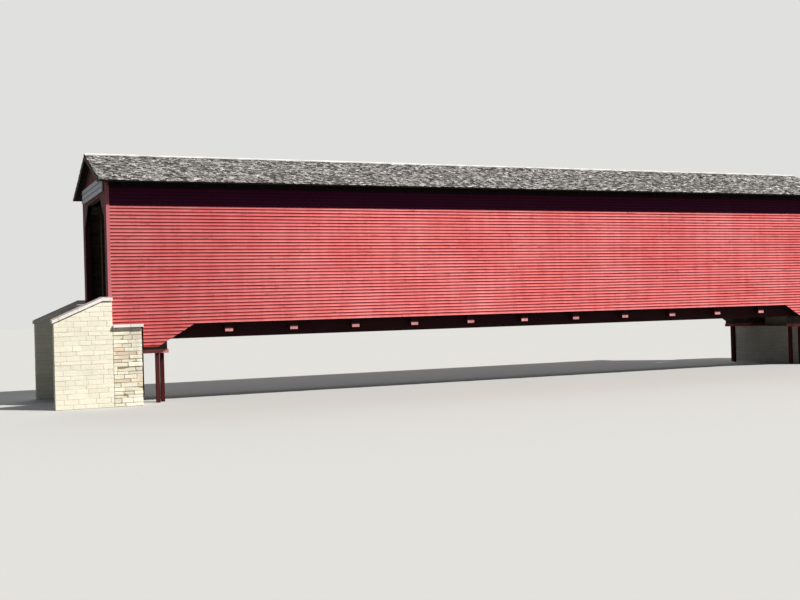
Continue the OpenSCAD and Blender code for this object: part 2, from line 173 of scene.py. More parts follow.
class BridgeColours(bpy.types.PropertyGroup):
    """Colours of the finishes and of the floor."""

    paint: swatch("Wall paint", "E24E50")
    chalk: swatch("Faded wall paint", "FFB2B0")
    trim_paint: swatch("Corner board paint", "B8505C")
    # Near black and purplish: painted shade on timbers that lie in shade under the siding and in
    # the portals
    old_paint: swatch("Timber paint", "2E1016")
    # Dark: painted shade on the bents' posts and the portal boards
    post_paint: swatch("Post and portal paint", "441516")
    # Paler than the real paint: painted light on the bolsters, which the skirts shade
    bolster_paint: swatch("Bolster paint", "D8787C")
    wood: swatch("Wood under the paint", "8C7B6C")
    timber: swatch("Bare timber", "5E4E40")
    # Near black: painted shade on the sheathing, wall plates and rafters under the eaves
    sheathing: swatch("Roof sheathing", "1C1613")
    deck: swatch("Deck", "93887A")
    shingle: swatch("Shingles", "C2BEBC")
    ridge: swatch("Ridge boards", "F2EFEA")
    limestone: swatch("Limestone", "FFFAE4")
    warm_stone: swatch("Warm limestone", "E2B896")
    mortar: swatch("Mortar", "DCD0AE")
    old_mortar: swatch("Weathered mortar", "A58C6C")
    coping: swatch("Coping stone", "FCF5F0")
    iron: swatch("Iron", "3B3836")
    rust: swatch("Rust", "4C3025")
    white_paint: swatch("Sign paint", "EEF0F4")
    floor: swatch("Floor", "BFBFBC")
    backdrop: swatch("Backdrop", "E0E0DE")


def tone(name):
    """One of the bridge's colours, as a socket takes it."""
    return (*getattr(bpy.context.scene.bridge_colours, name), 1.0)


# Node trees

# Kinds of sockets: of inputs by the type of their default, and of outputs by name
INPUT_KINDS = {float: "Float", int: "Int", tuple: "Color"}
OUTPUT_KINDS = {"geometry": "Geometry", "colour": "Color"}
# Kinds of the attributes that are no plain numbers
VECTORS = ("inside", "corner", "span")
# How the nodes are laid out in the editor
NODE_W, NODE_H, NODES_A_ROW = 190, 260, 12


def operation(kind, turned=False):
    """A method that works a field and another value out in a Math node, the other way if turned."""
    def method(field, other):
        return field.tree.math(kind, *((other, field) if turned else (field, other)))
    return method


class Field:
    """An output of a node, which can be added, multiplied and compared as a number can."""

    def __init__(self, tree, socket):
        self.tree = tree
        self.socket = socket

    __add__ = __radd__ = operation("ADD")
    __sub__ = operation("SUBTRACT")
    __rsub__ = operation("SUBTRACT", turned=True)
    __mul__ = __rmul__ = operation("MULTIPLY")
    __truediv__ = operation("DIVIDE")
    __pow__ = operation("POWER")
    __gt__ = operation("GREATER_THAN")
    __lt__ = operation("LESS_THAN")


def label(name):
    """The name that a socket or a tree shows: board_length shows as Board Length."""
    return name.replace("_", " ").title()


class Tree:
    """A node tree that is being built. Each call adds nodes and gives back an output."""

    def __init__(self, data, inputs=None):
        self.data = data
        self.made = 0
        if inputs:
            self.take(inputs)

    def named(self, sockets):
        """Fields of outputs, each under its name in lower case."""
        return SimpleNamespace(**{
            socket.name.replace(" ", "_").lower(): Field(self, socket)
            for socket in sockets if socket.name
        })

    def take(self, inputs):
        """Gives the tree inputs, each from its default or from the kind of its socket."""
        for name, default in inputs.items():
            kind = INPUT_KINDS.get(type(default), default)
            socket = self.data.interface.new_socket(
                label(name), in_out="INPUT", socket_type="NodeSocket" + kind
            )
            if kind != default:
                socket.default_value = default
        made = self.data.nodes.new("NodeGroupInput")
        made.location = (-NODE_W, 0)
        self.given = self.named(made.outputs)

    def put(self, **outputs):
        """Gives the tree its outputs."""
        for name in outputs:
            kind = OUTPUT_KINDS.get(name, "Float")
            self.data.interface.new_socket(
                label(name), in_out="OUTPUT", socket_type="NodeSocket" + kind
            )
        made = self.data.nodes.new("NodeGroupOutput")
        made.location = (NODE_W * NODES_A_ROW, 0)
        for name, value in outputs.items():
            self.feed(made.inputs[label(name)], value)

    def node(self, kind, inputs=None, out=0, **settings):
        """Adds a node. The keys of inputs are the names or numbers of its sockets."""
        made = self.data.nodes.new(kind)
        row, column = divmod(self.made, NODES_A_ROW)
        made.location = (NODE_W * column, -NODE_H * row)
        self.made += 1
        for name, value in settings.items():
            setattr(made, name, value)
        for key, value in (inputs or {}).items():
            self.feed(made.inputs[key], value)
        return made if out is None else Field(self, made.outputs[out])

    def feed(self, socket, value):
        """Links a field to a socket, or sets the socket's own value."""
        if isinstance(value, Field):
            self.data.links.new(value.socket, socket)
        else:
            socket.default_value = value

    def math(self, kind, *values):
        return self.node("ShaderNodeMath", dict(enumerate(values)), operation=kind)

    def vector(self, kind, *values):
        return self.node("ShaderNodeVectorMath", dict(enumerate(values)), operation=kind)

    def combine(self, *parts):
        return self.node("ShaderNodeCombineXYZ", dict(enumerate(parts)))

    def split(self, vector):
        """The three parts of a vector."""
        made = self.node("ShaderNodeSeparateXYZ", {0: vector}, out=None)
        return [Field(self, socket) for socket in made.outputs]

    def shifted(self, place, number, *factors):
        """A place moved along each axis by a number times that axis's factor."""
        return self.vector("ADD", place, self.combine(*(number * share for share in factors)))

    def clamp(self, value, low, high):
        return self.math("MINIMUM", self.math("MAXIMUM", value, low), high)

    def smooth(self, value, start, end, low=0.0, high=1.0):
        """Runs smoothly from low to high as value goes from start to end."""
        return self.node(
            "ShaderNodeMapRange", dict(enumerate((value, start, end, low, high))),
            interpolation_type="SMOOTHSTEP",
        )

    def blend(self, factor, a, b, kind="MIX"):
        """Mixes two colours."""
        return self.node(
            "ShaderNodeMix", {0: factor, 6: a, 7: b}, out=2, data_type="RGBA", blend_type=kind
        )

    def shaded(self, colour, light):
        """A colour times how light it is."""
        return self.blend(1.0, colour, self.combine(light, light, light), "MULTIPLY")

    def noise(self, vector, scale, detail=2.0, roughness=0.5, stretch=None):
        """Noise from 0 to 1, on a vector that may be stretched first."""
        if stretch:
            vector = self.vector("MULTIPLY", vector, stretch)
        return self.node("ShaderNodeTexNoise", {
            "Vector": vector, "Scale": scale, "Detail": detail, "Roughness": roughness,
        })

    def group(self, effect, **inputs):
        """Places a shader node group and gives its outputs."""
        made = self.node("ShaderNodeGroup", out=None)
        made.node_tree = bpy.data.node_groups[effect]
        for name, value in inputs.items():
            self.feed(made.inputs[label(name)], value)
        return self.named(made.outputs)


# Meshes that Geometry Nodes make


def attribute_kind(name):
    return "FLOAT_VECTOR" if name in VECTORS else "FLOAT"


class MeshTree(Tree):
    """A Geometry Nodes tree with named inputs and one mesh as its output."""

    def __init__(self, name, **inputs):
        super().__init__(bpy.data.node_groups.new(name, "GeometryNodeTree"), inputs)
        self.data.is_modifier = True

    def random(self, low, high, ident, seed):
        """A random number for each whole number ident. seed sets this draw apart from others."""
        inputs = {2: low, 3: high, 7: ident, 8: self.given.seed + seed}
        return self.node("FunctionNodeRandomValue", inputs, out=1, data_type="FLOAT")

    def store(self, mesh, **values):
        """Stores named attributes on a mesh's points."""
        for name, value in values.items():
            mesh = self.node(
                "GeometryNodeStoreNamedAttribute", {"Geometry": mesh, "Name": name, "Value": value},
                data_type=attribute_kind(name), domain="POINT",
            )
        return mesh

    def stored(self, name):
        """Reads a named attribute."""
        return self.node(
            "GeometryNodeInputNamedAttribute", {"Name": name}, data_type=attribute_kind(name)
        )

    def grid(self, columns):
        """The index of a point that is counted along rows, its row and its column."""
        index = self.node("GeometryNodeInputIndex")
        row = self.math("FLOOR", (index + 0.5) / columns)
        return index, row, index - row * columns

    def moved(self, mesh, place):
        return self.node("GeometryNodeSetPosition", {"Geometry": mesh, "Position": place})

    def scattered(self, points, mesh, **more):
        """Puts a mesh on every point, and makes all of them one mesh."""
        placed = self.node(
            "GeometryNodeInstanceOnPoints", {"Points": points, "Instance": mesh, **more}
        )
        return self.node("GeometryNodeRealizeInstances", {"Geometry": placed})

    def coated(self, mesh, material, where=True):
        return self.node("GeometryNodeSetMaterial", {
            "Geometry": mesh, "Selection": where, "Material": material,
        })

    def blocks(self, count, keep, corner, span, seed, cuts):
        """Puts a block, cut into a grid, at each point of a line, and makes all of them one mesh.

        corner and span are three numbers each, from the point's index: the block's low corner
        and its size. Gives the mesh, the place in the block from 0 to 1, and those two again,
        each in its three parts, and a random number that seed sets.
        """
        points = self.node("GeometryNodeMeshLine", {"Count": count, "Offset": (0.0, 0.0, 0.0)})
        points = self.store(
            points, keep=keep, corner=self.combine(*corner), span=self.combine(*span),
            board=self.random(0.0, 1.0, self.node("GeometryNodeInputIndex"), seed),
        )
        block = self.node(
            "GeometryNodeMeshCube", {f"Vertices {axis}": cut for axis, cut in zip("XYZ", cuts)}
        )
        inside = self.vector("ADD", self.node("GeometryNodeInputPosition"), (0.5, 0.5, 0.5))
        block = self.store(block, inside=inside)
        mesh = self.scattered(points, block, Selection=self.stored("keep") > 0.5)
        return mesh, *(self.split(self.stored(name)) for name in VECTORS), self.stored("board")


def boarding_tree():
    """Courses of boards on an upright rectangle, with X along them, Z up and their face to -Y."""
    tree = MeshTree(
        "Boarding", length=10.0, height=4.0, exposure=0.1, lap=0.0, vary=0.0, board_length=4.0,
        butt=0.02, thin=0.02, tuck=0.0, gap=0.003, lift=0.0, wave=0.0, segments=8, seed=0,
        face="Material", back="Material",
    )
    g = tree.given
    # What is left over above the last course becomes one more if it is over a fifth of one
    rows = tree.math("ROUND", g.height / g.exposure + 0.3)
    columns = tree.math("CEIL", g.length / g.board_length) + 1
    _, row, column = tree.grid(columns)
    shift = tree.math("FLOOR", tree.random(0.0, 3.99, row, 11)) / 4 * g.board_length
    shift = shift * (g.length > g.board_length)
    start = tree.clamp(column * g.board_length - shift, 0.0, g.length)
    end = tree.clamp((column + 1) * g.board_length - shift, 0.0, g.length)

    def edge(number):
        """Height of the lower edge of course number."""
        inner = (number > 0.5) * (number < rows - 0.5)
        jitter = tree.random(-0.5, 0.5, number, 12) * g.vary * inner
        return tree.math("MINIMUM", (number + jitter) * g.exposure, g.height)

    low, high = edge(row), edge(row + 1)
    mesh, (along, depth, rise), (x0, _, z0), (length, _, height), draw = tree.blocks(
        rows * columns, (end - start > LEAST_BOARD) * (high - low > LEAST_COURSE),
        (start + g.gap / 2, 0.0, low), (end - start - g.gap, 1.0, high - low + g.lap),
        13, (g.segments + 1, 2, 3),
    )
    x = x0 + along * length
    hang = 1.0 - rise
    bend = tree.noise(tree.combine(x * 0.45, draw * 57, 0.0), 1.0, 1.0)
    sag = tree.noise(tree.combine(x * 0.3, draw * 91, 5.0), 1.0, 1.0) - 0.5
    outer = rise * g.tuck - tree.smooth(bend, 0.42, 0.75) * g.lift * hang
    y = outer + depth * (g.butt + rise * (g.thin - g.butt)) + (draw - 0.5) * g.wave
    z = tree.clamp(z0 + rise * height + sag * g.wave * hang, 0.0, g.height)
    mesh = tree.store(tree.moved(mesh, tree.combine(x, y, z)), rise=rise)
    facing = tree.split(tree.node("GeometryNodeInputNormal"))[1]
    tree.put(geometry=tree.coated(tree.coated(mesh, g.face), g.back, facing > 0.7))


def shingle_tree():
    """Courses of shingles on a flat slope, with X along the eave, Y up the slope, Z out of it."""
    tree = MeshTree(
        "Shingling", length=10.0, slope=3.0, exposure=0.13, width=0.14, butt=0.012, thin=0.003,
        stack=0.033, gap=0.006, ragged=0.03, lift=0.02, tilt=0.02, missing=0.01, seed=0,
        face="Material",
    )
    g = tree.given
    rows = tree.math("CEIL", g.slope / g.exposure)
    columns = tree.math("CEIL", g.length / g.width) + 2
    index, row, column = tree.grid(columns)
    shift = tree.random(0.0, 1.0, row, 21)

    def edge(number, ident):
        """Place along the eave of the left edge of shingle number."""
        jitter = tree.random(-0.36, 0.36, ident, 22)
        return tree.clamp((number + jitter - shift) * g.width, 0.0, g.length)

    left, right = edge(column, index), edge(column + 1, index + 1)
    ragged = tree.random(-0.5, 0.5, index, 23) * g.ragged
    start = tree.math("MAXIMUM", row * g.exposure + ragged, -SHINGLE_OVERHANG)
    whole = tree.random(0.0, 1.0, index, 24) > g.missing
    mesh, (across, rise, top), (x0, y0, _), (width, run, lean), draw = tree.blocks(
        rows * columns, (right - left > LEAST_SHINGLE) * whole, (left + g.gap / 2, start, 0.0),
        (right - left - g.gap, g.exposure * SHINGLE_COURSES,
         tree.random(-1.0, 1.0, index, 25)),
        26, (2, 3, 2),
    )
    hang = 1.0 - rise
    skew = (across - 0.5) * hang
    y = tree.math("MINIMUM", y0 + rise * run + skew * lean * SHINGLE_LEAN, g.slope)
    curl = (draw ** 4) * (hang ** 2) * g.lift
    thick = g.butt + rise * (g.thin - g.butt)
    z = g.stack - rise * g.butt * SHINGLE_COURSES - (1.0 - top) * thick + curl
    z = tree.math("MAXIMUM", z + skew * lean * g.tilt, 0.0)
    mesh = tree.moved(mesh, tree.combine(x0 + across * width, y, z))
    tree.put(geometry=tree.coated(tree.store(mesh, rise=rise), g.face))


def stone_tree():
    """Coursed stones on an upright rectangle, with X along them, Z up and their face to -Y."""
    tree = MeshTree(
        "Stonework", length=2.0, height=1.0, depth=0.3, course=0.12, stone=0.36, joint=0.009,
        chamfer=0.008, rough=0.004, proud=0.0, seed=0, face="Material",
    )
    g = tree.given
    rows = tree.math("MAXIMUM", tree.math("ROUND", g.height / g.course), 1.0)
    stones = tree.math("MAXIMUM", tree.math("ROUND", g.length / g.stone), 1.0)
    columns = stones + 1
    index, row, column = tree.grid(columns)
    several = stones > 1.5
    odd = tree.math("MODULO", row, 2.0) * 0.5 * several

    def bed(number):
        """Height of the bed under course number."""
        inner = (number > 0.5) * (number < rows - 0.5)
        return (number + tree.random(-0.16, 0.16, number, 31) * inner) * g.height / rows

    def joint(number, ident):
        """Place of the upright joint before stone number, drawn to the wall's ends when near."""
        place = number + tree.random(-0.28, 0.28, ident, 32) * several - odd
        place = place * (place > 0.2) * (number > 0.5)
        near_end = place > stones - 0.2
        return (place + (stones - place) * near_end) * g.length / stones

    left, right = joint(column, index), joint(column + 1, index + 1)
    low, high = bed(row), bed(row + 1)
    mesh, inside, corner, span, draw = tree.blocks(
        rows * columns, right - left > LEAST_STONE, (left + g.joint / 2, 0.0, low + g.joint / 2),
        (right - left - g.joint, g.depth, high - low - g.joint), 33, (4, 4, 4),
    )
    places = [part * 2 - 1 for part in inside]
    outmost = [tree.math("ABSOLUTE", place) > 0.9 for place in places]
    on_edge = outmost[0] + outmost[1] + outmost[2] > 1.5
    final = []
    for place, at_end, low_end, size in zip(places, outmost, corner, span):
        drawn_in = g.chamfer * (1.0 - at_end + at_end * on_edge * 0.45)
        final.append(low_end + size / 2 + tree.math("SIGN", place) * (size / 2 - drawn_in))
    final[1] = final[1] - (draw - 0.5) * g.proud * (places[1] < 0.0)
    place = tree.combine(*final)
    dent = tree.node("ShaderNodeTexNoise", {
        "Vector": tree.shifted(place, draw, 31, 17, 11), "Scale": 9.0, "Detail": 1.0,
    }, out=1)
    dent = tree.vector("SUBTRACT", dent, (0.5, 0.5, 0.5))
    dent = tree.vector("MULTIPLY", dent, tree.combine(g.rough, g.rough, g.rough))
    mesh = tree.moved(mesh, tree.vector("ADD", place, dent))
    tree.put(geometry=tree.coated(mesh, g.face))


def nail_tree():
    """Nail heads on the clapboards, at every stud and course, with their heads to -Y."""
    tree = MeshTree(
        "Nailing", columns=10, rows=10, step=1.0, rise=0.108, lower=0.03, depth=0.004,
        radius=0.004, seed=0, face="Material",
    )
    g = tree.given
    index, row, column = tree.grid(g.columns)
    x = column * g.step + tree.random(-0.025, 0.025, index, 41)
    z = row * g.rise + g.lower + tree.random(-0.006, 0.006, index, 42)
    points = tree.node("GeometryNodeMeshLine", {"Count": g.columns * g.rows})
    points = tree.moved(points, tree.combine(x, g.depth, z))
    head = tree.node("GeometryNodeMeshCylinder", {
        "Vertices": 7, "Radius": g.radius, "Depth": g.radius,
    })
    mesh = tree.scattered(points, head, Rotation=(math.pi / 2, 0.0, 0.0))
    tree.put(geometry=tree.coated(mesh, g.face))


def thread_tree():
    """The threaded end of an iron rod, upright on every point of a mesh."""
    tree = MeshTree(
        "Rod Ends", geometry="Geometry", radius=0.019, length=0.04, turns=8, face="Material"
    )
    g = tree.given
    rod = tree.node("GeometryNodeMeshCylinder", {
        "Vertices": 10, "Side Segments": g.turns * 2, "Radius": g.radius, "Depth": g.length,
    })
    x, y, z = tree.split(tree.node("GeometryNodeInputPosition"))
    ring = tree.math("ROUND", (z / g.length + 0.5) * g.turns * 2)
    groove = 1.0 - tree.math("MODULO", ring + 1, 2.0) * 0.13
    rod = tree.moved(rod, tree.combine(x * groove, y * groove, z))
    tree.put(geometry=tree.coated(tree.scattered(g.geometry, rod), g.face))


TREES = {
    "boarding": boarding_tree, "shingling": shingle_tree, "stonework": stone_tree,
    "nailing": nail_tree, "rod_ends": thread_tree,
}


def linked(name, data):
    """A new object in the scene."""
    obj = bpy.data.objects.new(name, data)
    bpy.context.collection.objects.link(obj)
    return obj


def grown(kind, place=Matrix(), points=(), **values):
    """A plain mesh object that a tree makes of its values, and of points where it takes a mesh."""
    name = label(kind)
    if name not in bpy.data.node_groups:
        TREES[kind]()
    source = linked(name, bpy.data.meshes.new(name))
    source.data.from_pydata(points, [], [])
    modifier = source.modifiers.new(name, "NODES")
    modifier.node_group = bpy.data.node_groups[name]
    wanted = {label(key): value for key, value in values.items()}
    for item in modifier.node_group.interface.items_tree:
        if item.item_type == "SOCKET" and item.in_out == "INPUT" and item.name in wanted:
            modifier[item.identifier] = wanted.pop(item.name)
    if wanted:
        raise ValueError(f"the tree {name} has no input {sorted(wanted)}")
    shown = source.evaluated_get(bpy.context.evaluated_depsgraph_get())
    mesh = bpy.data.meshes.new_from_object(shown)
    bpy.data.objects.remove(source)
    for extra in ("keep", *VECTORS):
        if extra in mesh.attributes:
            mesh.attributes.remove(mesh.attributes[extra])
    mesh.transform(place)
    return linked(name, mesh)


def coat(name):
    """A finish that is ready, by its name."""
    return bpy.data.materials[name]


def planks(place, thick, face, back=None, **values):
    """Boards of an even thickness, with one finish all round unless back names another."""
    return grown("boarding", place, butt=thick, thin=thick, face=coat(face),
                 back=coat(back or face), **values)


# Meshes made and joined in code


def cut_off(obj, point, normal):
    """Cuts away what lies beyond a plane, in the direction of its normal, and closes the cut."""
    bm = bmesh.new()
    bm.from_mesh(obj.data)
    everything = bm.verts[:] + bm.edges[:] + bm.faces[:]
    cut = bmesh.ops.bisect_plane(
        bm, geom=everything, plane_co=point, plane_no=normal, clear_outer=True, dist=1e-5
    )
    edges = [part for part in cut["geom_cut"] if isinstance(part, bmesh.types.BMEdge)]
    open_edges = [edge for edge in edges if len(edge.link_faces) < 2]
    filled = bmesh.ops.edgenet_fill(bm, edges=open_edges)["faces"]
    bmesh.ops.recalc_face_normals(bm, faces=bm.faces[:])
    bmesh.ops.triangulate(bm, faces=[face for face in filled if len(face.verts) > 4])
    bm.to_mesh(obj.data)
    bm.free()


def block(low, high, place, finish, bevel=0.0):
    """A solid between two corners, put in place."""
    bm = bmesh.new()
    sides = ((low[0], low[2]), (high[0], low[2]), (high[0], high[2]), (low[0], high[2]))
    near, far = [[bm.verts.new((x, y, z)) for x, z in sides] for y in (low[1], high[1])]
    bm.faces.new(near)
    bm.faces.new(reversed(far))
    for k in range(4):
        after = (k + 1) % 4
        bm.faces.new((near[after], near[k], far[k], far[after]))
    bmesh.ops.recalc_face_normals(bm, faces=bm.faces[:])
    if bevel:
        bmesh.ops.bevel(bm, geom=bm.edges[:], offset=bevel, segments=2, affect="EDGES")
    mesh = bpy.data.meshes.new("block")
    bm.to_mesh(mesh)
    bm.free()
    mesh.transform(place)
    mesh.materials.append(finish)
    return linked("block", mesh)


def copied(part, turn):
    """The same part, turned."""
    twin = linked(part.name, part.data.copy())
    twin.data.transform(turn)
    return twin


def four(*parts):
    """Parts of the front east corner, and their like at the other three, faces outwards."""
    result = []
    for part in parts:
        mirrored = [copied(part, Matrix.Scale(-1, 4, axis)) for axis in ((1, 0, 0), (0, 1, 0))]
        for twin in mirrored:
            twin.data.flip_normals()
        result += [part, copied(part, HALF_TURN), *mirrored]
    return result


def joined(name, parts, slot, *nodes):
    """Makes one piece of several objects. It rides on the bridge and stands for the nodes."""
    whole = parts[0]
    with bpy.context.temp_override(
        active_object=whole, object=whole, selected_objects=parts, selected_editable_objects=parts
    ):
        if len(parts) > 1:
            bpy.ops.object.join()
    whole.name = whole.data.name = name
    whole.data.shade_flat()
    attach(whole, "root")
    if nodes:
        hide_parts(*nodes)


def axes(x, y, z, origin):
    """The matrix that takes X, Y and Z to the given directions and the origin to a point."""
    return Matrix.Translation(origin) @ Matrix((x, y, z)).transposed().to_4x4()


def facing_west(origin):
    """The matrix that turns a face from -Y to -X."""
    return axes((0, -1, 0), (1, 0, 0), (0, 0, 1), origin)


def corners(node):
    """The corners of a node's solids."""
    return [vertex.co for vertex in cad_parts[node].data.vertices]


def inner_end(node, axis):
    """How near to the middle of an axis a node's solids come."""
    return min(point[axis] for point in corners(node) if point[axis] > 0)


# Effects that several materials share


def effect(name, **inputs):
    """A shader node group with named inputs."""
    return Tree(bpy.data.node_groups.new(name, "ShaderNodeTree"), inputs)


def sawn_grain():
    """Fibres, growth rings and drying cracks of a board that lies along the vector's X."""
    tree = effect("Sawn Grain", vector="Vector", board=0.0, coarseness=1.0)
    g = tree.given
    place = tree.shifted(g.vector, g.board, 41, 17, 29)
    place = tree.vector("MULTIPLY", place, tree.combine(g.coarseness, g.coarseness, g.coarseness))
    fibre = tree.noise(place, 1.0, 4.0, 0.62, (1.6, 42, 42))
    ring = tree.math("SINE", tree.noise(place, 1.0, 1.0, 0.5, (0.45, 6.5, 6.5)) * 46) * 0.5 + 0.5
    seam = tree.math("ABSOLUTE", tree.noise(place, 1.0, 2.0, 0.5, (0.7, 15, 15)) - 0.5)
    where = tree.smooth(tree.noise(place, 1.1, 1.0), 0.5, 0.62)
    tree.put(grain=fibre * 0.66 + ring * 0.34, crack=tree.smooth(seam, 0.022, 0.004) * where)


def weathering():
    """Broad blotches, streaks that run down, and fine specks."""
    tree = effect("Weathering", vector="Vector", seed=0.0)
    place = tree.shifted(tree.given.vector, tree.given.seed, 13, 7, 5)
    tree.put(
        blotch=tree.smooth(tree.noise(place, 0.5, 4.0, 0.6), 0.3, 0.7),
        streak=tree.smooth(tree.noise(place, 1.0, 3.0, 0.55, (3.4, 3.4, 0.34)), 0.32, 0.68),
        speck=tree.noise(place, 46.0, 3.0, 0.6),
    )


def board_tint():
    """A colour made lighter or darker, and more or less rich, by a random number."""
    tree = effect("Board Tint", colour=(1, 1, 1, 1), draw=0.5, amount=0.2)
    g = tree.given
    other = tree.math("FRACT", g.draw * 7.31) - 0.5
    tree.put(colour=tree.node("ShaderNodeHueSaturation", {
        "Hue": other * g.amount * 0.03 + 0.5, "Saturation": other * g.amount * 0.8 + 1.0,
        "Value": (g.draw - 0.5) * g.amount + 1.0, "Color": g.colour,
    }))


def old_paint():
    """Faded, dusty paint that has chipped to the wood along cracks and edges."""
    tree = effect(
        "Old Paint", paint=(1, 0, 0, 1), chalk=(1, 1, 1, 1), wood=(0.3, 0.3, 0.3, 1), board=0.5,
        grain=0.5, crack=0.0, blotch=0.5, streak=0.5, speck=0.5, edge=0.0, fade=0.4, wear=0.3,
        vary=0.1, dirt=0.0, soil=(0.045, 0.02, 0.018, 1),
    )
    g = tree.given
    base = tree.group("Board Tint", colour=g.paint, draw=g.board, amount=g.vary).colour
    faded = (g.blotch * 0.25 + g.streak * 0.1 + g.grain * 0.5 + 0.15) * g.fade
    colour = tree.blend(tree.clamp(faded, 0.0, 1.0), base, g.chalk)
    # dirt adds real dirt, and on clapboards painted shade under each lap
    grime = tree.clamp((1.0 - g.streak) * 0.08 + g.crack * 0.5 + g.dirt, 0.0, 0.95)
    colour = tree.blend(grime, colour, g.soil)
    bare = g.speck * 0.75 + g.grain * 0.35 + g.edge * 0.22 + g.crack * 0.25
    chip = tree.smooth(bare, 1.02 - g.wear * 0.4, 1.08 - g.wear * 0.4)
    tree.put(
        colour=tree.blend(chip, colour, g.wood), roughness=0.72 + chip * 0.2,
        height=g.grain * 0.35 - g.crack * 0.8 - chip * 0.4,
    )


def bare_wood():
    """Unpainted wood, greyed in blotches and dark in its cracks."""
    tree = effect(
        "Bare Wood", wood=(0.3, 0.2, 0.1, 1), board=0.5, grain=0.5, crack=0.0, blotch=0.5,
        streak=0.5, amount=0.35, grey=0.3,
    )
    g = tree.given
    base = tree.group("Board Tint", colour=g.wood, draw=g.board, amount=g.amount).colour
    grey = tree.blend(g.grey * g.blotch, base, (0.32, 0.31, 0.29, 1))
    colour = tree.shaded(grey, tree.smooth(g.grain, 0.25, 0.75, 0.55, 1.18))
    dark = g.crack * 0.75 + (1.0 - g.streak) * 0.2
    tree.put(
        colour=tree.blend(dark, colour, (0.035, 0.028, 0.022, 1)),
        roughness=0.78 + g.grain * 0.15, height=g.grain * 0.5 - g.crack,
    )


def split_stone():
    """Limestone with a split face: mottled, pitted, and warm or pale from stone to stone."""
    tree = effect(
        "Split Stone", vector="Vector", stone=0.5, pale=(1, 1, 1, 1), warm=(1, 0.8, 0.6, 1),
        warmth=0.4, amount=0.2, grime=0.3,
    )
    g = tree.given
    place = tree.shifted(g.vector, g.stone, 23, 37, 11)
    cloud = tree.noise(place, 4.0, 4.0, 0.6)
    fine = tree.noise(place, 38.0, 5.0, 0.65)
    cells = tree.node("ShaderNodeTexVoronoi", {"Vector": place, "Scale": 55.0})
    pits = tree.smooth(cells, 0.22, 0.05) * tree.smooth(cloud, 0.45, 0.6)
    warm = tree.smooth(tree.math("FRACT", g.stone * 5.7) + cloud * 0.6 - 0.3, 0.55, 1.1)
    colour = tree.blend(warm * g.warmth, g.pale, g.warm)
    colour = tree.group("Board Tint", colour=colour, draw=g.stone, amount=g.amount).colour
    colour = tree.shaded(colour, tree.smooth(fine, 0.3, 0.7, 0.86, 1.06))
    weather = tree.group("Weathering", vector=g.vector, seed=2.0)
    dirt = (1.0 - weather.streak) * weather.blotch * g.grime + pits * 0.3
    tree.put(
        colour=tree.blend(dirt, colour, (0.21, 0.16, 0.115, 1)),
        height=cloud * 1.2 + fine * 0.6 - pits * 0.8,
    )


def rusted_iron():
    """Dull iron with rust in patches. Gives how rusty each place is."""
    tree = effect(
        "Rusted Iron", vector="Vector", iron=(0.1, 0.1, 0.1, 1), rust=(0.3, 0.1, 0.05, 1),
        amount=0.5,
    )
    g = tree.given
    patch = tree.noise(g.vector, 7.0, 4.0, 0.65)
    grit = tree.noise(g.vector, 120.0, 3.0, 0.6)
    rust = tree.smooth(patch + (grit - 0.5) * 0.3 + g.amount * 0.4, 0.5, 0.85)
    bright = tree.blend(grit, g.rust, (0.19, 0.085, 0.045, 1))
    tree.put(
        colour=tree.blend(rust, g.iron, bright), rust=rust, height=grit * (rust * 0.7 + 0.3)
    )


# Materials

# How a member's length lies: the turn that takes it to the X axis
TURNS = {
    "x": (0, 0, 0),
    "y": (0, 0, -math.pi / 2),
    "z": (0, math.pi / 2, 0),
    "rafter_front": (-ROOF_PITCH, 0, -math.pi / 2),
    "rafter_back": (ROOF_PITCH, 0, -math.pi / 2),
    "lateral_rising": (0, 0, -LATERAL_TURN),
    "lateral_falling": (0, 0, LATERAL_TURN),
    "brace": (0, BRACE_TURN, 0),
}


class Finish(Tree):
    """A material under construction, with its place on the object as a vector."""

    def __init__(self, name):
        self.material = bpy.data.materials.new(name)
        self.material.use_nodes = True
        super().__init__(self.material.node_tree)
        self.data.nodes.clear()
        self.place = self.node("ShaderNodeTexCoord", out="Object")

    def attribute(self, name):
        return self.node("ShaderNodeAttribute", out="Fac", attribute_name=name)

    def sawn(self, turn, draw, seed, coarseness=1.0, place=None):
        """Grain along a member and the weather's marks on it. draw is its random number."""
        along = self.node(
            "ShaderNodeMapping", {"Vector": place or self.place, "Rotation": TURNS[turn]}
        )
        grain = self.group("Sawn Grain", vector=along, board=draw, coarseness=coarseness)
        wear = self.group("Weathering", vector=self.place, seed=seed)
        marks = {"board": draw, "grain": grain.grain, "crack": grain.crack,
                 "blotch": wear.blotch, "streak": wear.streak}
        return marks, wear.speck

    def painted(self, sawn, paint, chalk="chalk", wood="wood", **values):
        """Paint on wood. The colours are named."""
        marks, speck = sawn
        return self.group("Old Paint", paint=tone(paint), chalk=tone(chalk), wood=tone(wood),
                          speck=speck, **marks, **values)

    def bare(self, sawn, wood="timber", amount=0.35, grey=0.3):
        """Unpainted wood of a named colour, which varies by amount from board to board."""
        return self.group("Bare Wood", wood=tone(wood), amount=amount, grey=grey, **sawn[0])

    def surface(self, colour, roughness, height, depth=0.002, metallic=0.0, specular=0.3):
        """Ends the material with one shader and a bump of that depth in metres."""
        normal = self.node(
            "ShaderNodeBump", {"Height": height, "Distance": depth, "Strength": 1.0}, out="Normal"
        )
        shader = self.node("ShaderNodeBsdfPrincipled", {
            "Base Color": colour, "Roughness": roughness, "Metallic": metallic,
            "Specular IOR Level": specular, "Normal": normal,
        })
        self.node("ShaderNodeOutputMaterial", {"Surface": shader}, out=None)
        return self.material


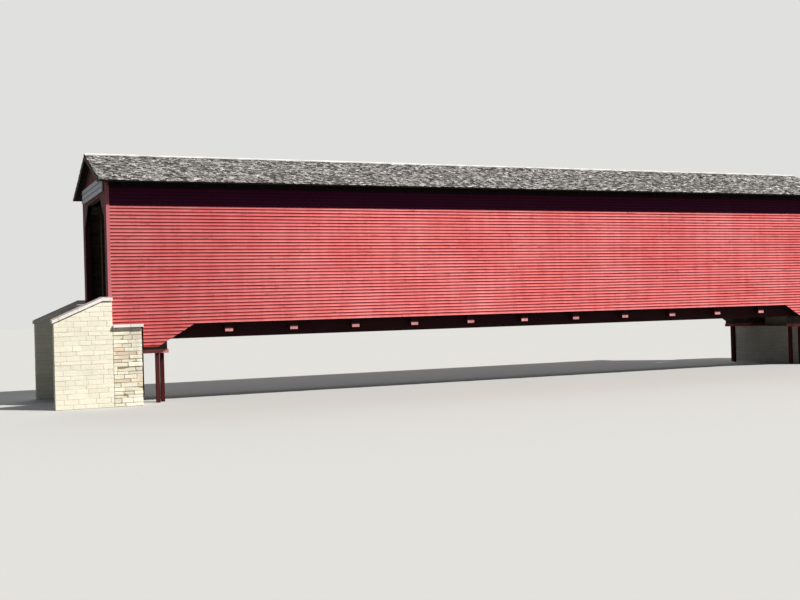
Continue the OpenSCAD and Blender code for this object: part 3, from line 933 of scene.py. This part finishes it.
def timber(node, turn="x", step=(0, 0, 0), start=(0, 0, 0), fold=None, paint=None, bleached=None,
           **look):
    """A finish for a node's sawn timbers, in a named paint or bare.

    Members are told apart by cells of size step from start, 0 where there is only one. fold is
    an axis, a centre and a sign: what lies on both sides of the centre is laid on one side.
    bleached is the Y beyond which, and the Z below which, their paint is paler: partly
    bleached by the sun, partly a painted highlight where the siding's shadow ends.
    """
    finish = Finish(("Painted " if paint else "Bare ") + node)
    place = finish.place
    if fold:
        axis, centre, sign = fold
        parts = finish.split(place)
        parts[axis] = finish.math("ABSOLUTE", parts[axis] - centre) * float(sign)
        place = finish.combine(*parts)
    cell = finish.vector("SNAP", finish.vector("SUBTRACT", place, start), step)
    draw = finish.node(
        "ShaderNodeTexWhiteNoise", {"Vector": finish.vector("ADD", cell, (0.37, 0.37, 0.37))}
    )
    sawn = finish.sawn(turn, draw, 3.0, place=place)
    if paint:
        fade = 0.02
        if bleached:
            out, low = bleached
            _, y, z = finish.split(finish.place)
            # Paler on the ends below the siding's shadow line: partly bleaching, partly painted
            # light
            end = finish.smooth(finish.math("ABSOLUTE", y), out - 0.03, out)
            fade = fade + end * finish.smooth(z, low + 0.03, low - 0.03) * 1.2
        wood = finish.painted(sawn, paint, wood="timber", fade=fade, wear=0.1, vary=0.2)
    else:
        wood = finish.bare(sawn, **look)
    return finish.surface(wood.colour, wood.roughness, wood.height, 0.003, specular=0.1)


def bare_boards(name, turn="x", depth=0.0015, **look):
    """A finish for unpainted boards that carry a random number each."""
    finish = Finish(name)
    wood = finish.bare(finish.sawn(turn, finish.attribute("board"), 1.0, 1.3), **look)
    return finish.surface(wood.colour, wood.roughness, wood.height, depth, specular=0.15)


def painted_boards(name, paint, turn="x", fade=0.4, sheltered=False, **look):
    """A finish for painted boards that carry a random number each and their rise from 0 to 1.

    On clapboards this paints shade: darker under the lap above each board, partly dirt and partly
    painted shade; painted shade under the eaves and towards the west end; and paler towards the
    butts, partly bleaching and partly a painted highlight.
    """
    finish = Finish(name)
    board, rise = finish.attribute("board"), finish.attribute("rise")
    dirt = 0.0
    if sheltered:
        x, _, z = finish.split(finish.place)
        patch = finish.noise(finish.combine(x * 0.9, board * 37, z * 2.0), 1.0, 2.0)
        # Darker under the lap above each board: partly dirt, partly painted shade below the butt
        # above
        lap = finish.smooth(rise, 0.36, 0.64) * finish.smooth(patch, 0.25, 0.75, 0.72, 1.0)
        dirt = lap - finish.smooth(rise, 0.14, 0.0) * 0.1
        # Paler towards the butts: partly bleaching, partly a painted highlight
        fade = fade + finish.smooth(rise, 0.42, 0.1) * 0.5
    # The soil colour is a saturated deep red, the tone of shade in the laps: partly dirt, partly
    # painted shade
    wood = finish.painted(
        finish.sawn(turn, board, 1.0, 1.3), paint, fade=fade, dirt=dirt,
        edge=finish.smooth(rise, 0.16, 0.02), soil=(0.24, 0.002, 0.003, 1.0), **look,
    )
    colour, gloss = wood.colour, 0.15
    if sheltered:
        # Painted shade: darker and dull red towards the west end
        west = finish.smooth(x, -WALL_HALF_L / 3, -WALL_HALF_L)
        # Painted shade: dark purplish under the eaves, where their shade falls
        eave = finish.smooth(z, EAVE_PAINTED_SHADE_Z - 0.03, EAVE_PAINTED_SHADE_Z + 0.05)
        colour = finish.blend(west * 0.3, colour, (0.13, 0.03, 0.035, 1))
        colour = finish.blend(eave * 0.95, colour, (0.07, 0.01, 0.04, 1))
        gloss = 0.04
    return finish.surface(colour, wood.roughness, wood.height, 0.0015, specular=gloss)


def shingle_finish():
    """Weathered shingles, each of its own grey, darker below the next course: partly damp, partly
    painted shade.
    """
    finish = Finish("Weathered Shingles")
    board, rise = finish.attribute("board"), finish.attribute("rise")
    marks, _ = finish.sawn("y", board, 4.0, 2.2)
    draws = [finish.math("FRACT", board * factor) for factor in (13.7, 5.3, 8.9)]
    patch = finish.noise(finish.place, 17.0, 3.0, 0.6, (1, 0.3, 0.3))
    # Each shingle's tone, spread wider than real, with a few very bright ones: partly painted light
    # and shade of curled, sunlit butts
    light = finish.smooth(draws[0], 0.1, 0.9, 0.2, 1.12) + finish.smooth(board, 0.78, 0.9)
    light = light * finish.smooth(patch, 0.3, 0.7, 0.6, 1.45)
    colour = tone("shingle")
    for draw, other in zip(draws[1:], ((0.20, 0.145, 0.10, 1), (0.30, 0.33, 0.23, 1))):
        colour = finish.blend(finish.smooth(draw, 0.5, 1.0, 0.0, 0.3), colour, other)
    light = light * finish.smooth(marks["grain"], 0.25, 0.75, 0.75, 1.15)
    colour = finish.shaded(colour, light)
    # Darker just below the butts of the next course: partly damp, partly painted shade of those
    # butts
    damp_and_shade = finish.smooth(rise, 0.3, 0.5) * 0.5 + (1.0 - marks["streak"]) * 0.25
    damp_and_shade = damp_and_shade + marks["crack"] * 0.5
    colour = finish.blend(damp_and_shade, colour, (0.045, 0.04, 0.034, 1))
    height = marks["grain"] * 0.6 - marks["crack"]
    return finish.surface(colour, 0.88, height, 0.003, specular=0.2)


def stone_finish(name, pale, warmth, amount, grime, depth=0.006, lichen=0.0):
    """Limestone whose stones carry a random number each, with lichen on what faces up."""
    finish = Finish(name)
    look = finish.group(
        "Split Stone", vector=finish.place, stone=finish.attribute("board"), pale=tone(pale),
        warm=tone("warm_stone"), warmth=warmth, amount=amount, grime=grime,
    )
    colour = look.colour
    if lichen:
        up = finish.split(finish.node("ShaderNodeNewGeometry", out="Normal"))[2]
        patch = finish.smooth(finish.noise(finish.place, 6.0, 5.0, 0.7), 0.25, 0.6, 0.45, 1.0)
        grown_over = finish.smooth(up, 0.55, 0.85) * patch * lichen
        colour = finish.blend(grown_over, colour, (0.24, 0.20, 0.165, 1))
    return finish.surface(colour, 0.9, look.height, depth, specular=0.2)


def mortar_finish(name, colour):
    """Sandy mortar."""
    finish = Finish(name)
    sand = finish.noise(finish.place, 160.0, 3.0, 0.7)
    cloud = finish.noise(finish.place, 3.0, 3.0, 0.6)
    colour = finish.shaded(tone(colour), 0.72 + sand * 0.25 + cloud * 0.3)
    return finish.surface(colour, 0.95, sand, 0.002, specular=0.15)


def iron_finish(name, amount):
    """Cast or wrought iron with rust."""
    finish = Finish(name)
    look = finish.group("Rusted Iron", vector=finish.place, iron=tone("iron"), rust=tone("rust"),
                        amount=amount)
    roughness = 0.5 + look.rust * 0.35
    metallic = 0.85 - look.rust * 0.8
    return finish.surface(look.colour, roughness, look.height, 0.0012, metallic)


# Looks of the carried-over timbers, and how their members are told apart. Steps of metres part
# the two sides or ends only
# Timbers in the near-black timber paint, which is painted shade
SHADED_RED = {"paint": "old_paint"}
# Near-black timber: painted shade on what lies under the eaves
SHADE_DARK = {"wood": "sheathing", "amount": 0.1, "grey": 0.0}
STICKS = {"step": (0, STICK_STEP, 0), "start": (0, TRUSS_OUT + 0.03, 0), "fold": (1, 0, 1)}
BAYS = {"turn": "y", "step": (PANEL, 0, 0), "start": (-PANEL / 2, 0, 0)}
RISING = {"turn": "lateral_rising", "step": (PANEL, 0, 0)}
FALLING = {"turn": "lateral_falling", "step": (PANEL, 0, 0)}
BRACES = {"turn": "brace", "step": (PANEL, 3, 0), "fold": (0, PANEL / 2, 1)}
LEVEL = {"step": (0, 3, 0)}
RAFTERS = {"step": (STUD_STEP, 0, 0), "start": (-STUD_STEP / 2, 0, 0), **SHADE_DARK}
TIMBERS = {
    "bolsters": {"paint": "bolster_paint", "step": (20, 5, 0)},
    "bent_posts": {"paint": "post_paint", "turn": "z", "step": (26.52, 3, 0),
                   "start": (13.26, 0, 0)},
    "lower_chords": {**STICKS, **SHADED_RED},
    "chord_boards": {"step": (PANEL, 5, 0.174), "start": (-PANEL / 2, 0, 2.197), **SHADED_RED},
    "floor_beams": {**BAYS, **SHADED_RED, "bleached": (2.35, 2.31)},
    "lower_laterals_rising": {**RISING, **SHADED_RED},
    "lower_laterals_falling": {**FALLING, **SHADED_RED},
    "portal_posts": {"turn": "z", "step": (20, 3, 0), **SHADED_RED},
    "bearing_blocks": {"step": (28.7, 3, 0), "start": (14.35, 0, 0)},
    "upper_chords": STICKS,
    "main_braces": {**BRACES, "step": (PANEL, 0.34, 0), "start": (0, 0.2, 0),
                    "fold": (0, PANEL / 2, -1)},
    "counter_braces": BRACES,
    "stringers": {"step": (0, 0.52, 0), "start": (0, 0.26, 0)},
    "tie_beams": BAYS,
    "upper_laterals_rising": RISING,
    "upper_laterals_falling": FALLING,
    "wall_sills": LEVEL,
    "wall_studs": {"turn": "z", "step": (STUD_STEP, 3, 0)},
    "wall_plates": {**LEVEL, **SHADE_DARK},
    "skirt_hangers": {"turn": "z", "step": (0.5, 3, 0), "start": (0.05, 0, 0)},
    "rake_boards": {"turn": "rafter_front", "step": (20, 0, 0), "fold": (1, 0, -1)},
    "rafters_front": {"turn": "rafter_front", **RAFTERS},
    "rafters_back": {"turn": "rafter_back", **RAFTERS},
}
BARE_BOARDS = {
    "Unpainted Backs": {},
    "Unpainted Portal Backs": {"turn": "z"},
    "Curb Timber": {"wood": "deck"},
    "Sheathing": SHADE_DARK,
    "Worn Deck": {"turn": "y", "wood": "deck", "grey": 0.6, "depth": 0.003},
    "Ridge Boards": {"wood": "ridge", "amount": 0.12, "grey": 0.15},
}
PAINTED_BOARDS = {
    "Barn Red Clapboards": {"paint": "paint", "fade": 0.42, "wear": 0.35, "vary": 0.09,
                            "sheltered": True},
    "Red Corner Boards": {"paint": "trim_paint", "turn": "z", "fade": 0.35, "wear": 0.35},
    "Red Portal Boards": {"paint": "post_paint", "turn": "z", "fade": 0.03, "wear": 0.25},
    "White Sign Boards": {"paint": "white_paint", "chalk": "white_paint", "turn": "y",
                          "wear": 0.5},
}
STONES = {
    "Split Limestone": {"pale": "limestone", "warmth": 0.12, "amount": 0.09, "grime": 0.1},
    "Warm Split Limestone": {"pale": "limestone", "warmth": 0.5, "amount": 0.26, "grime": 0.3,
                             "depth": 0.012},
    "Sawn Coping": {"pale": "coping", "warmth": 0.08, "amount": 0.08, "grime": 0.1,
                    "depth": 0.004, "lichen": 0.85},
}
# Carried-over nodes that share a finish with others
DRESSED = {
    "corner_boards": "Red Corner Boards", "curbs": "Curb Timber", "truss_rods": "Dull Iron",
    "washer_plates": "Dull Iron", "rod_nuts": "Dull Iron", "angle_blocks": "Dull Iron",
}


def dress(node, material):
    """Gives a carried-over node its finish."""
    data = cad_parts[node].data
    data.materials.clear()
    data.materials.append(material)


class BRIDGE_OT_finishes(bpy.types.Operator):
    """Make the shared effects and finishes, and dress the carried-over timbers and iron"""

    bl_idname = "bridge.finishes"
    bl_label = "Finishes"

    def execute(self, context):
        for build in (sawn_grain, weathering, board_tint, old_paint, bare_wood, split_stone,
                      rusted_iron):
            build()
        for node, look in TIMBERS.items():
            dress(node, timber(node, **look))
        for name, look in BARE_BOARDS.items():
            bare_boards(name, **look)
        for name, look in PAINTED_BOARDS.items():
            painted_boards(name, **look)
        shingle_finish()
        for name, look in STONES.items():
            stone_finish(name, **look)
        mortar_finish("Mortar", "mortar")
        mortar_finish("Weathered Mortar", "old_mortar")
        iron_finish("Dull Iron", 0.35)
        iron_finish("Rusty Nails", 1.0)
        for node, name in DRESSED.items():
            dress(node, coat(name))
        return {"FINISHED"}


class BRIDGE_OT_siding(bpy.types.Operator):
    """Lap clapboards over both side walls and their skirts, and nail them"""

    bl_idname = "bridge.siding"
    bl_label = "Clapboards"

    def execute(self, context):
        sizes = context.scene.bridge_sizes
        height = SIDING_HIGH.z - SIDING_LOW.z
        look = {
            "exposure": sizes.clapboard, "lap": sizes.clapboard_lap, "vary": 0.05,
            "board_length": sizes.board_length, "butt": sizes.clapboard_butt, "thin": 0.006,
            "tuck": sizes.clapboard_butt * (1 + sizes.clapboard_lap / sizes.clapboard),
            "lift": sizes.clapboard_lift, "wave": 0.004, "segments": 12,
            "face": coat("Barn Red Clapboards"), "back": coat("Unpainted Backs"),
        }
        corner = Matrix.Translation((-WALL_HALF_L, -WALL_OUT - SIDING_PROUD, SIDING_LOW.z))
        for number, (side, turn) in enumerate(SIDES.items()):
            wall = grown("boarding", turn @ corner, length=2 * WALL_HALF_L, height=height,
                         seed=sizes.seed + number, **look)
            joined("clapboards_" + side, [wall], "barn_red", "siding_" + side)
        self.make_skirts(sizes, look)
        self.nail(sizes, height)
        return {"FINISHED"}

    def make_skirts(self, sizes, look):
        """Carries the courses on below the siding, and cuts them to the skirts' outline."""
        courses = math.ceil((SKIRT_HIGH.z - SKIRT_LOW.z) / sizes.clapboard)
        low = SKIRT_HIGH.z - courses * sizes.clapboard
        slant_in = inner_end("skirts", 0)
        flat_in = min(p.x for p in corners("skirts") if p.x > 0 and p.z < SKIRT_LOW.z + 0.01)
        slope = Vector((flat_in - slant_in, 0, SKIRT_LOW.z - SKIRT_HIGH.z)).normalized()
        parts = []
        for turn in ENDS:
            for side, start in ((-1, -SKIRT_HIGH.x), (1, slant_in)):
                place = Matrix.Translation((start, -WALL_OUT - SIDING_PROUD, low))
                part = grown(
                    "boarding", place, length=SKIRT_HIGH.x - slant_in, height=SKIRT_HIGH.z - low,
                    seed=sizes.seed + SEEDS["skirt"] + len(parts), **look,
                )
                cut_off(part, (0, 0, SKIRT_LOW.z), (0, 0, -1))
                cut_off(part, (side * flat_in, 0, SKIRT_LOW.z), (side * slope.z, 0, -slope.x))
                part.data.transform(turn)
                parts.append(part)
        joined("clapboard_skirts", parts, "barn_red", "skirts")

    def nail(self, sizes, height):
        """Drives a nail through each course at each stud."""
        studs = 2 * PANELS
        first = Matrix.Translation((-(studs - 1) / 2 * STUD_STEP, -WALL_OUT, SIDING_LOW.z))
        for number, (side, turn) in enumerate(SIDES.items()):
            nails = grown(
                "nailing", turn @ first, columns=studs, rows=round(height / sizes.clapboard),
                step=STUD_STEP, rise=sizes.clapboard, lower=0.03, depth=-0.003,
                radius=sizes.nail_radius, seed=sizes.seed + number, face=coat("Rusty Nails"),
            )
            joined("siding_nails_" + side, [nails], "iron")


class BRIDGE_OT_roof(bpy.types.Operator):
    """Lay sheathing, shingles and ridge boards on the rafters"""

    bl_idname = "bridge.roof"
    bl_label = "Roof"

    def execute(self, context):
        sizes = context.scene.bridge_sizes
        length = 2 * ROOF_HALF_L
        eave = Vector((-ROOF_HALF_L, 0, ROOF_UNDER_PEAK)) - UP_SLOPE * SLOPE_L
        eave += OFF_SLOPE * SHEATHING_T
        lying = axes((1, 0, 0), UP_SLOPE, OFF_SLOPE, eave)
        upright = axes((1, 0, 0), -OFF_SLOPE, UP_SLOPE, eave)
        for number, (side, turn) in enumerate(SIDES.items()):
            sheathing = planks(
                turn @ upright, SHEATHING_T, "Sheathing", length=length, height=SLOPE_L,
                exposure=0.2, lap=-0.008, vary=0.1, board_length=sizes.board_length, segments=4,
                seed=sizes.seed + SEEDS["sheathing"] + number,
            )
            shingles = grown(
                "shingling", turn @ lying, length=length, slope=SLOPE_L - 0.02,
                exposure=sizes.shingle, width=sizes.shingle_width, butt=sizes.shingle_butt,
                stack=ROOF_T - SHEATHING_T, seed=sizes.seed + SEEDS["shingle"] + number,
                face=coat("Weathered Shingles"),
            )
            cut_off(shingles, (0, 0, 0), turn.to_3x3() @ Vector((0, 1, 0)))
            joined("shingles_" + side, [shingles], "shingle", "roof_" + side)
            joined("sheathing_" + side, [sheathing], "bare_timber", "roof_" + side)
        # Two rows of boards along the ridge
        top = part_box("ridge_cap")[1]
        width = top.y / math.cos(ROOF_PITCH)
        start = Vector((-ROOF_HALF_L, 0, top.z)) - UP_SLOPE * width
        joined("ridge_boards", [
            planks(
                turn @ axes((1, 0, 0), -OFF_SLOPE, UP_SLOPE, start), RIDGE_BOARD_T,
                "Ridge Boards", length=length, height=width, exposure=width,
                board_length=sizes.board_length, wave=0.003, segments=6,
                seed=sizes.seed + SEEDS["ridge"] + number,
            ) for number, turn in enumerate(ENDS)
        ], "shingle", "ridge_cap")
        return {"FINISHED"}


class BRIDGE_OT_portals(bpy.types.Operator):
    """Board the portals: gables, jambs, knees and the blank sign"""

    bl_idname = "bridge.portals"
    bl_label = "Portals"

    def execute(self, context):
        sizes = context.scene.bridge_sizes
        under_roof = [
            ((0, 0, ROOF_UNDER_PEAK), (0, side * OFF_SLOPE.y, OFF_SLOPE.z)) for side in (1, -1)
        ]
        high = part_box("gable_boards")[1]
        self.board_up(sizes, "gable", [(-high.y, high.y, 0, under_roof)])

        high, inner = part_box("jamb_boards")[1], inner_end("jamb_boards", 1)
        self.board_up(sizes, "jamb", [(-high.y, -inner, 0, []), (inner, high.y, 1, [])])

        low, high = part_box("knee_boards")
        inner = inner_end("knee_boards", 1)
        slope = Vector((0, high.z - low.z, high.y - inner)).normalized()
        self.board_up(sizes, "knee", [
            (*sorted((side * inner, side * high.y)), side,
             [((0, side * high.y, low.z), (0, -side * slope.y, -slope.z))])
            for side in (-1, 1)
        ])
        self.make_signs(sizes)
        return {"FINISHED"}

    def board_up(self, sizes, kind, fields):
        """Puts upright boards on both portals.

        Each field is where it starts and ends in Y at the west portal, what it adds to the
        seed, and the planes, each a point and a normal, that it is cut off at.
        """
        low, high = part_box(kind + "_boards")
        seeds_an_end = 1 if len(fields) == 1 else 3
        parts = []
        for number, turn in enumerate(ENDS):
            for start, end, draw, cuts in fields:
                part = planks(
                    axes((0, 0, 1), (1, 0, 0), (0, 1, 0), (-PORTAL_X, start, low.z)),
                    PORTAL_X - WALL_HALF_L, "Red Portal Boards", "Unpainted Portal Backs",
                    length=high.z - low.z, height=end - start, exposure=sizes.portal_board,
                    lap=-0.004, vary=0.3, board_length=10.0, wave=0.003, segments=4,
                    seed=sizes.seed + SEEDS[kind] + seeds_an_end * number + draw,
                )
                for point, normal in cuts:
                    cut_off(part, point, normal)
                part.data.transform(turn)
                parts.append(part)
        joined(kind + "_planks", parts, "shade_red", kind + "_boards")

    def make_signs(self, sizes):
        """Three blank boards on upright battens over each portal."""
        low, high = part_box("sign_boards")
        height = high.z - low.z
        back = -(high.x - PORTAL_X) + SIGN_BOARD_T + 0.003
        parts = []
        for number, turn in enumerate(ENDS):
            parts.append(planks(
                turn @ facing_west((-high.x, high.y, low.z)), SIGN_BOARD_T, "White Sign Boards",
                length=2 * high.y, height=height, exposure=height / 3, lap=-0.028,
                board_length=20.0, wave=0.004, segments=10,
                seed=sizes.seed + SEEDS["sign"] + number,
            ))
            for k in range(BATTENS):
                y = (k / (BATTENS - 1) - 0.5) * (2 * high.y - BATTENS_SHORT)
                parts.append(block(
                    (-BATTEN_HALF_W, back, low.z + BATTEN_SHORT),
                    (BATTEN_HALF_W, -0.001, high.z - BATTEN_SHORT),
                    turn @ facing_west((-PORTAL_X, y, 0)), coat("White Sign Boards"), 0.003,
                ))
        joined("sign_planks", parts, "pale_paint", "sign_boards")


class BRIDGE_OT_deck(bpy.types.Operator):
    """Lay the deck planks across the stringers"""

    bl_idname = "bridge.deck"
    bl_label = "Deck"

    def execute(self, context):
        sizes = context.scene.bridge_sizes
        low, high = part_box("deck")
        deck = planks(
            axes((0, 1, 0), (0, 0, -1), (-1, 0, 0), (high.x, low.y, high.z)), high.z - low.z,
            "Worn Deck", length=high.y - low.y, height=high.x - low.x,
            exposure=sizes.deck_plank, lap=-0.009, vary=0.3, board_length=20.0, wave=0.004,
            segments=6, seed=sizes.seed + SEEDS["deck"],
        )
        joined("deck_planks", [deck], "deck_plank", "deck")
        return {"FINISHED"}


class BRIDGE_OT_stonework(bpy.types.Operator):
    """Build the abutments, back, wing and cheek walls and their coping of single stones"""

    bl_idname = "bridge.stonework"
    bl_label = "Stonework"

    def execute(self, context):
        sizes = context.scene.bridge_sizes
        self.look = {
            "course": sizes.course, "stone": sizes.stone, "joint": sizes.joint,
            "chamfer": 0.006, "proud": 0.008, "rough": 0.010, "face": coat("Split Limestone"),
        }
        self.seed = sizes.seed + SEEDS["stone"]
        for side, turn in (("west", HALF_TURN), ("east", Matrix())):
            parts = self.wall(*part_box("abutment_east"), "x")
            for part in parts:
                part.data.transform(turn)
            joined(f"abutment_{side}_stones", parts, "limestone", "abutment_" + side)
        low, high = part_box("back_walls")
        parts = self.wall(Vector((inner_end("back_walls", 0), low.y, 0)), high, "x")
        parts += [copied(part, HALF_TURN) for part in parts]
        joined("back_wall_stones", parts, "limestone", "back_walls")
        self.make_cheeks(sizes.rough_course)
        self.make_wings()
        return {"FINISHED"}

    def wall(self, low, high, thin, cut=None, look=None, mortar="Mortar"):
        """Stones round a core of mortar, for a wall whose thickness is along X or Y."""
        self.seed += 1
        size = high - low
        if thin == "x":
            place, length, depth = facing_west((low.x, high.y, low.z)), size.y, size.x
        else:
            place, length, depth = Matrix.Translation(low), size.x, size.y
        stones = grown("stonework", place, length=length, height=size.z, depth=depth,
                       seed=self.seed, **(look or self.look))
        core = block(
            (MORTAR_INSET, MORTAR_INSET, 0.002),
            (length - MORTAR_INSET, depth - MORTAR_INSET, size.z - MORTAR_INSET),
            place, coat(mortar),
        )
        if cut:
            point, normal = cut
            cut_off(stones, point, normal)
            cut_off(core, point - normal * MORTAR_INSET, normal)
        return [stones, core]

    def corner(self, node):
        """Low and high corner of the front east one of a node's four solids."""
        low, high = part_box(node)
        points = [p for p in corners(node) if p.x > 0 and p.y < 0]
        near = Vector((min(p.x for p in points), low.y, min(p.z for p in points)))
        return near, Vector((high.x, max(p.y for p in points), high.z))

    def make_cheeks(self, course):
        """The low walls beside the bents, of rougher stones, and their caps."""
        self.seed += 3
        rough = dict(self.look, face=coat("Warm Split Limestone"), rough=0.022, proud=0.022,
                     joint=0.010, chamfer=0.011, course=course, stone=0.4)
        wall = self.wall(*self.corner("cheek_walls"), "y", look=rough, mortar="Weathered Mortar")
        joined("cheek_wall_stones", four(*wall), "limestone", "cheek_walls")
        low, high = self.corner("cheek_caps")
        cap = self.slab(Matrix.Translation(low), high - low, 0.5)
        joined("cheek_cap_stones", four(cap), "coping_stone", "cheek_caps")

    def make_wings(self):
        """The walls beside the road, with a coping that bends down with their tops."""
        low, high = self.corner("wing_walls")
        points = [p for p in corners("wing_walls") if p.x > 0]
        bend = max(p.x for p in points if p.z > high.z - 0.01)
        end_z = max(p.z for p in points if p.x > high.x - 0.01)
        slope = Vector((high.x - bend, 0, end_z - high.z)).normalized()
        normal = Vector((-slope.z, 0, slope.x))
        peak = Vector((bend, 0, high.z))
        bed = Vector((0, 0, COPING_BED))
        parts = self.wall(low, high - bed, "y", (peak - bed, normal))
        joined("wing_wall_stones", four(*parts), "limestone", "wing_walls")

        cap_low, cap_high = self.corner("wing_copings")
        thick = cap_high.z - high.z
        level = Matrix.Translation((cap_low.x, cap_low.y, high.z))
        size = Vector((bend - cap_low.x + COPING_SPARE, cap_high.y - cap_low.y, thick))
        flat = self.slab(level, size, 0.6, COPING_FALL)
        tilted = axes(slope, (0, 1, 0), normal, (bend, cap_low.y, high.z))
        tilted = tilted @ Matrix.Translation((-COPING_SPARE, 0, 0))
        run = (cap_high.x - bend) / slope.x
        size = Vector((run + COPING_SPARE, size.y, thick * slope.x))
        sloping = self.slab(tilted, size, 0.72, COPING_FALL)
        mitre = Vector((1.0 + slope.x, 0, slope.z)).normalized()
        for part, side in ((flat, 1), (sloping, -1)):
            cut_off(part, peak - side * MITRE_SHORT * mitre, side * mitre)
        cut_off(sloping, (cap_high.x + COPING_END, 0, 0), (1, 0, 0))
        joined("wing_coping_stones", four(flat, sloping), "coping_stone", "wing_copings")

    def slab(self, place, size, stone, fall=0.0):
        """One course of sawn stones, whose tops rise by fall for each metre from the face."""
        self.seed += 1
        look = dict(self.look, proud=0.0, rough=0.006, face=coat("Sawn Coping"), stone=stone,
                    course=1.0, chamfer=0.01)
        part = grown("stonework", length=size.x, height=size.z, depth=size.y, seed=self.seed,
                     **look)
        for vertex in part.data.vertices:
            if vertex.co.z > size.z / 2:
                vertex.co.z += fall * vertex.co.y
        part.data.transform(place)
        return part


class BRIDGE_OT_rod_ends(bpy.types.Operator):
    """Put a threaded end on both ends of every truss rod, outside its nut"""

    bl_idname = "bridge.rod_ends"
    bl_label = "Rod ends"

    def execute(self, context):
        low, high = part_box("rod_nuts")
        gap = STICK_STEP / 2
        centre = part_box("truss_rods")[1].y - gap - ROD_R
        points = [
            ((k - PANELS / 2) * PANEL, side * (centre + row * gap), z)
            for k in range(PANELS + 1) for side in (-1, 1) for row in (-1, 1)
            for z in (low.z - THREAD_L / 2, high.z + THREAD_L / 2)
        ]
        ends = grown("rod_ends", points=points, radius=THREAD_R, length=THREAD_L, turns=3,
                     face=coat("Dull Iron"))
        joined("threaded_rod_ends", [ends], "iron")
        return {"FINISHED"}


def shown_rays(tree):
    """1 for rays from the camera, from gloss and through glass, else 0."""
    node = tree.node("ShaderNodeLightPath", out=None)
    camera, gloss, glass = (Field(tree, node.outputs[f"Is {ray} Ray"])
                            for ray in ("Camera", "Glossy", "Transmission"))
    return tree.math("MAXIMUM", tree.math("MAXIMUM", camera, gloss), glass)


class BRIDGE_OT_stage(bpy.types.Operator):
    """Make the floor, the light and the camera"""

    bl_idname = "bridge.stage"
    bl_label = "Stage"

    def execute(self, context):
        scene = context.scene
        self.lay_floor()
        self.hang_lamp("key", direction=(-0.95, 1.05, -1.42), energy=5.1, angle=2.5,
                       colour=(1.0, 0.975, 0.94))
        self.hang_lamp("back", direction=(-0.3, -1.0, -0.8), energy=1.2, angle=50,
                       colour=(1.0, 0.99, 0.98))
        self.fill_light(scene)
        self.place_camera(scene)
        scene.view_settings.view_transform = "Standard"
        return {"FINISHED"}

    def lay_floor(self):
        mesh = bpy.data.meshes.new("floor")
        turns = ((-1, -1), (1, -1), (1, 1), (-1, 1))
        points = [(x * FLOOR_HALF, y * FLOOR_HALF, 0) for x, y in turns]
        mesh.from_pydata(points, [], [(0, 1, 2, 3)])
        finish = Finish("Pale Floor")
        colour = finish.blend(shown_rays(finish), (0.17, 0.17, 0.17, 1), tone("floor"))
        mesh.materials.append(finish.surface(colour, 0.9, 0.0, specular=0.0))
        linked("floor", mesh)

    def hang_lamp(self, name, direction, energy, angle, colour):
        """A distant lamp that shines along a direction. Its angle, in degrees, softens shadows."""
        data = bpy.data.lights.new(name, "SUN")
        data.energy = energy
        data.angle = math.radians(angle)
        data.color = colour
        turn = Vector(direction).to_track_quat("-Z", "Y")
        linked(name, data).rotation_euler = turn.to_euler()

    def fill_light(self, scene):
        """An even, cool light from all round, and the backdrop that the camera sees."""
        scene.world = bpy.data.worlds.new("backdrop")
        scene.world.use_nodes = True
        tree = Tree(scene.world.node_tree)
        tree.data.nodes.clear()
        colour = tree.blend(shown_rays(tree), (0.10, 0.115, 0.14, 1), tone("backdrop"))
        background = tree.node("ShaderNodeBackground", {"Color": colour, "Strength": 1.0})
        tree.node("ShaderNodeOutputWorld", {"Surface": background}, out=None)

    def place_camera(self, scene):
        yaw, pitch, roll = (math.radians(CAMERA_TURN[turn]) for turn in ("yaw", "pitch", "roll"))
        ahead = Vector((
            math.sin(yaw) * math.cos(pitch), math.cos(yaw) * math.cos(pitch), math.sin(pitch)
        ))
        level = Vector((math.cos(yaw), -math.sin(yaw), 0))
        up = level.cross(ahead)
        right = level * math.cos(roll) + up * math.sin(roll)
        upright = up * math.cos(roll) - level * math.sin(roll)
        data = bpy.data.cameras.new("camera")
        data.sensor_width = 36.0
        data.lens = LENS_MM
        data.clip_end = 5 * FLOOR_HALF
        scene.camera = linked("camera", data)
        scene.camera.matrix_world = axes(right, upright, -ahead, CAMERA_PLACE)


OPERATORS = (
    BRIDGE_OT_finishes, BRIDGE_OT_siding, BRIDGE_OT_roof, BRIDGE_OT_portals, BRIDGE_OT_deck,
    BRIDGE_OT_stonework, BRIDGE_OT_rod_ends, BRIDGE_OT_stage,
)


class BRIDGE_PT_panel(bpy.types.Panel):
    """Lists the steps, sizes and colours of the bridge"""

    bl_idname = "BRIDGE_PT_panel"
    bl_label = "Covered Bridge"
    bl_space_type = "VIEW_3D"
    bl_region_type = "UI"
    bl_category = "Covered Bridge"

    def draw(self, context):
        for operator in OPERATORS:
            self.layout.operator(operator.bl_idname)
        for group in (context.scene.bridge_sizes, context.scene.bridge_colours):
            box = self.layout.box()
            for name in group.bl_rna.properties.keys():
                if name not in ("rna_type", "name"):
                    box.prop(group, name)


CLASSES = (BridgeSizes, BridgeColours, *OPERATORS, BRIDGE_PT_panel)


def register():
    for cls in CLASSES:
        bpy.utils.register_class(cls)
    bpy.types.Scene.bridge_sizes = PointerProperty(type=BridgeSizes)
    bpy.types.Scene.bridge_colours = PointerProperty(type=BridgeColours)


def unregister():
    del bpy.types.Scene.bridge_colours
    del bpy.types.Scene.bridge_sizes
    for cls in reversed(CLASSES):
        bpy.utils.unregister_class(cls)


def main():
    """Registers the add-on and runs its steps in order."""
    register()
    for operator in OPERATORS:
        step = operator.bl_idname.split(".")[1]
        getattr(bpy.ops.bridge, step)()


if __name__ == "__main__":
    main()
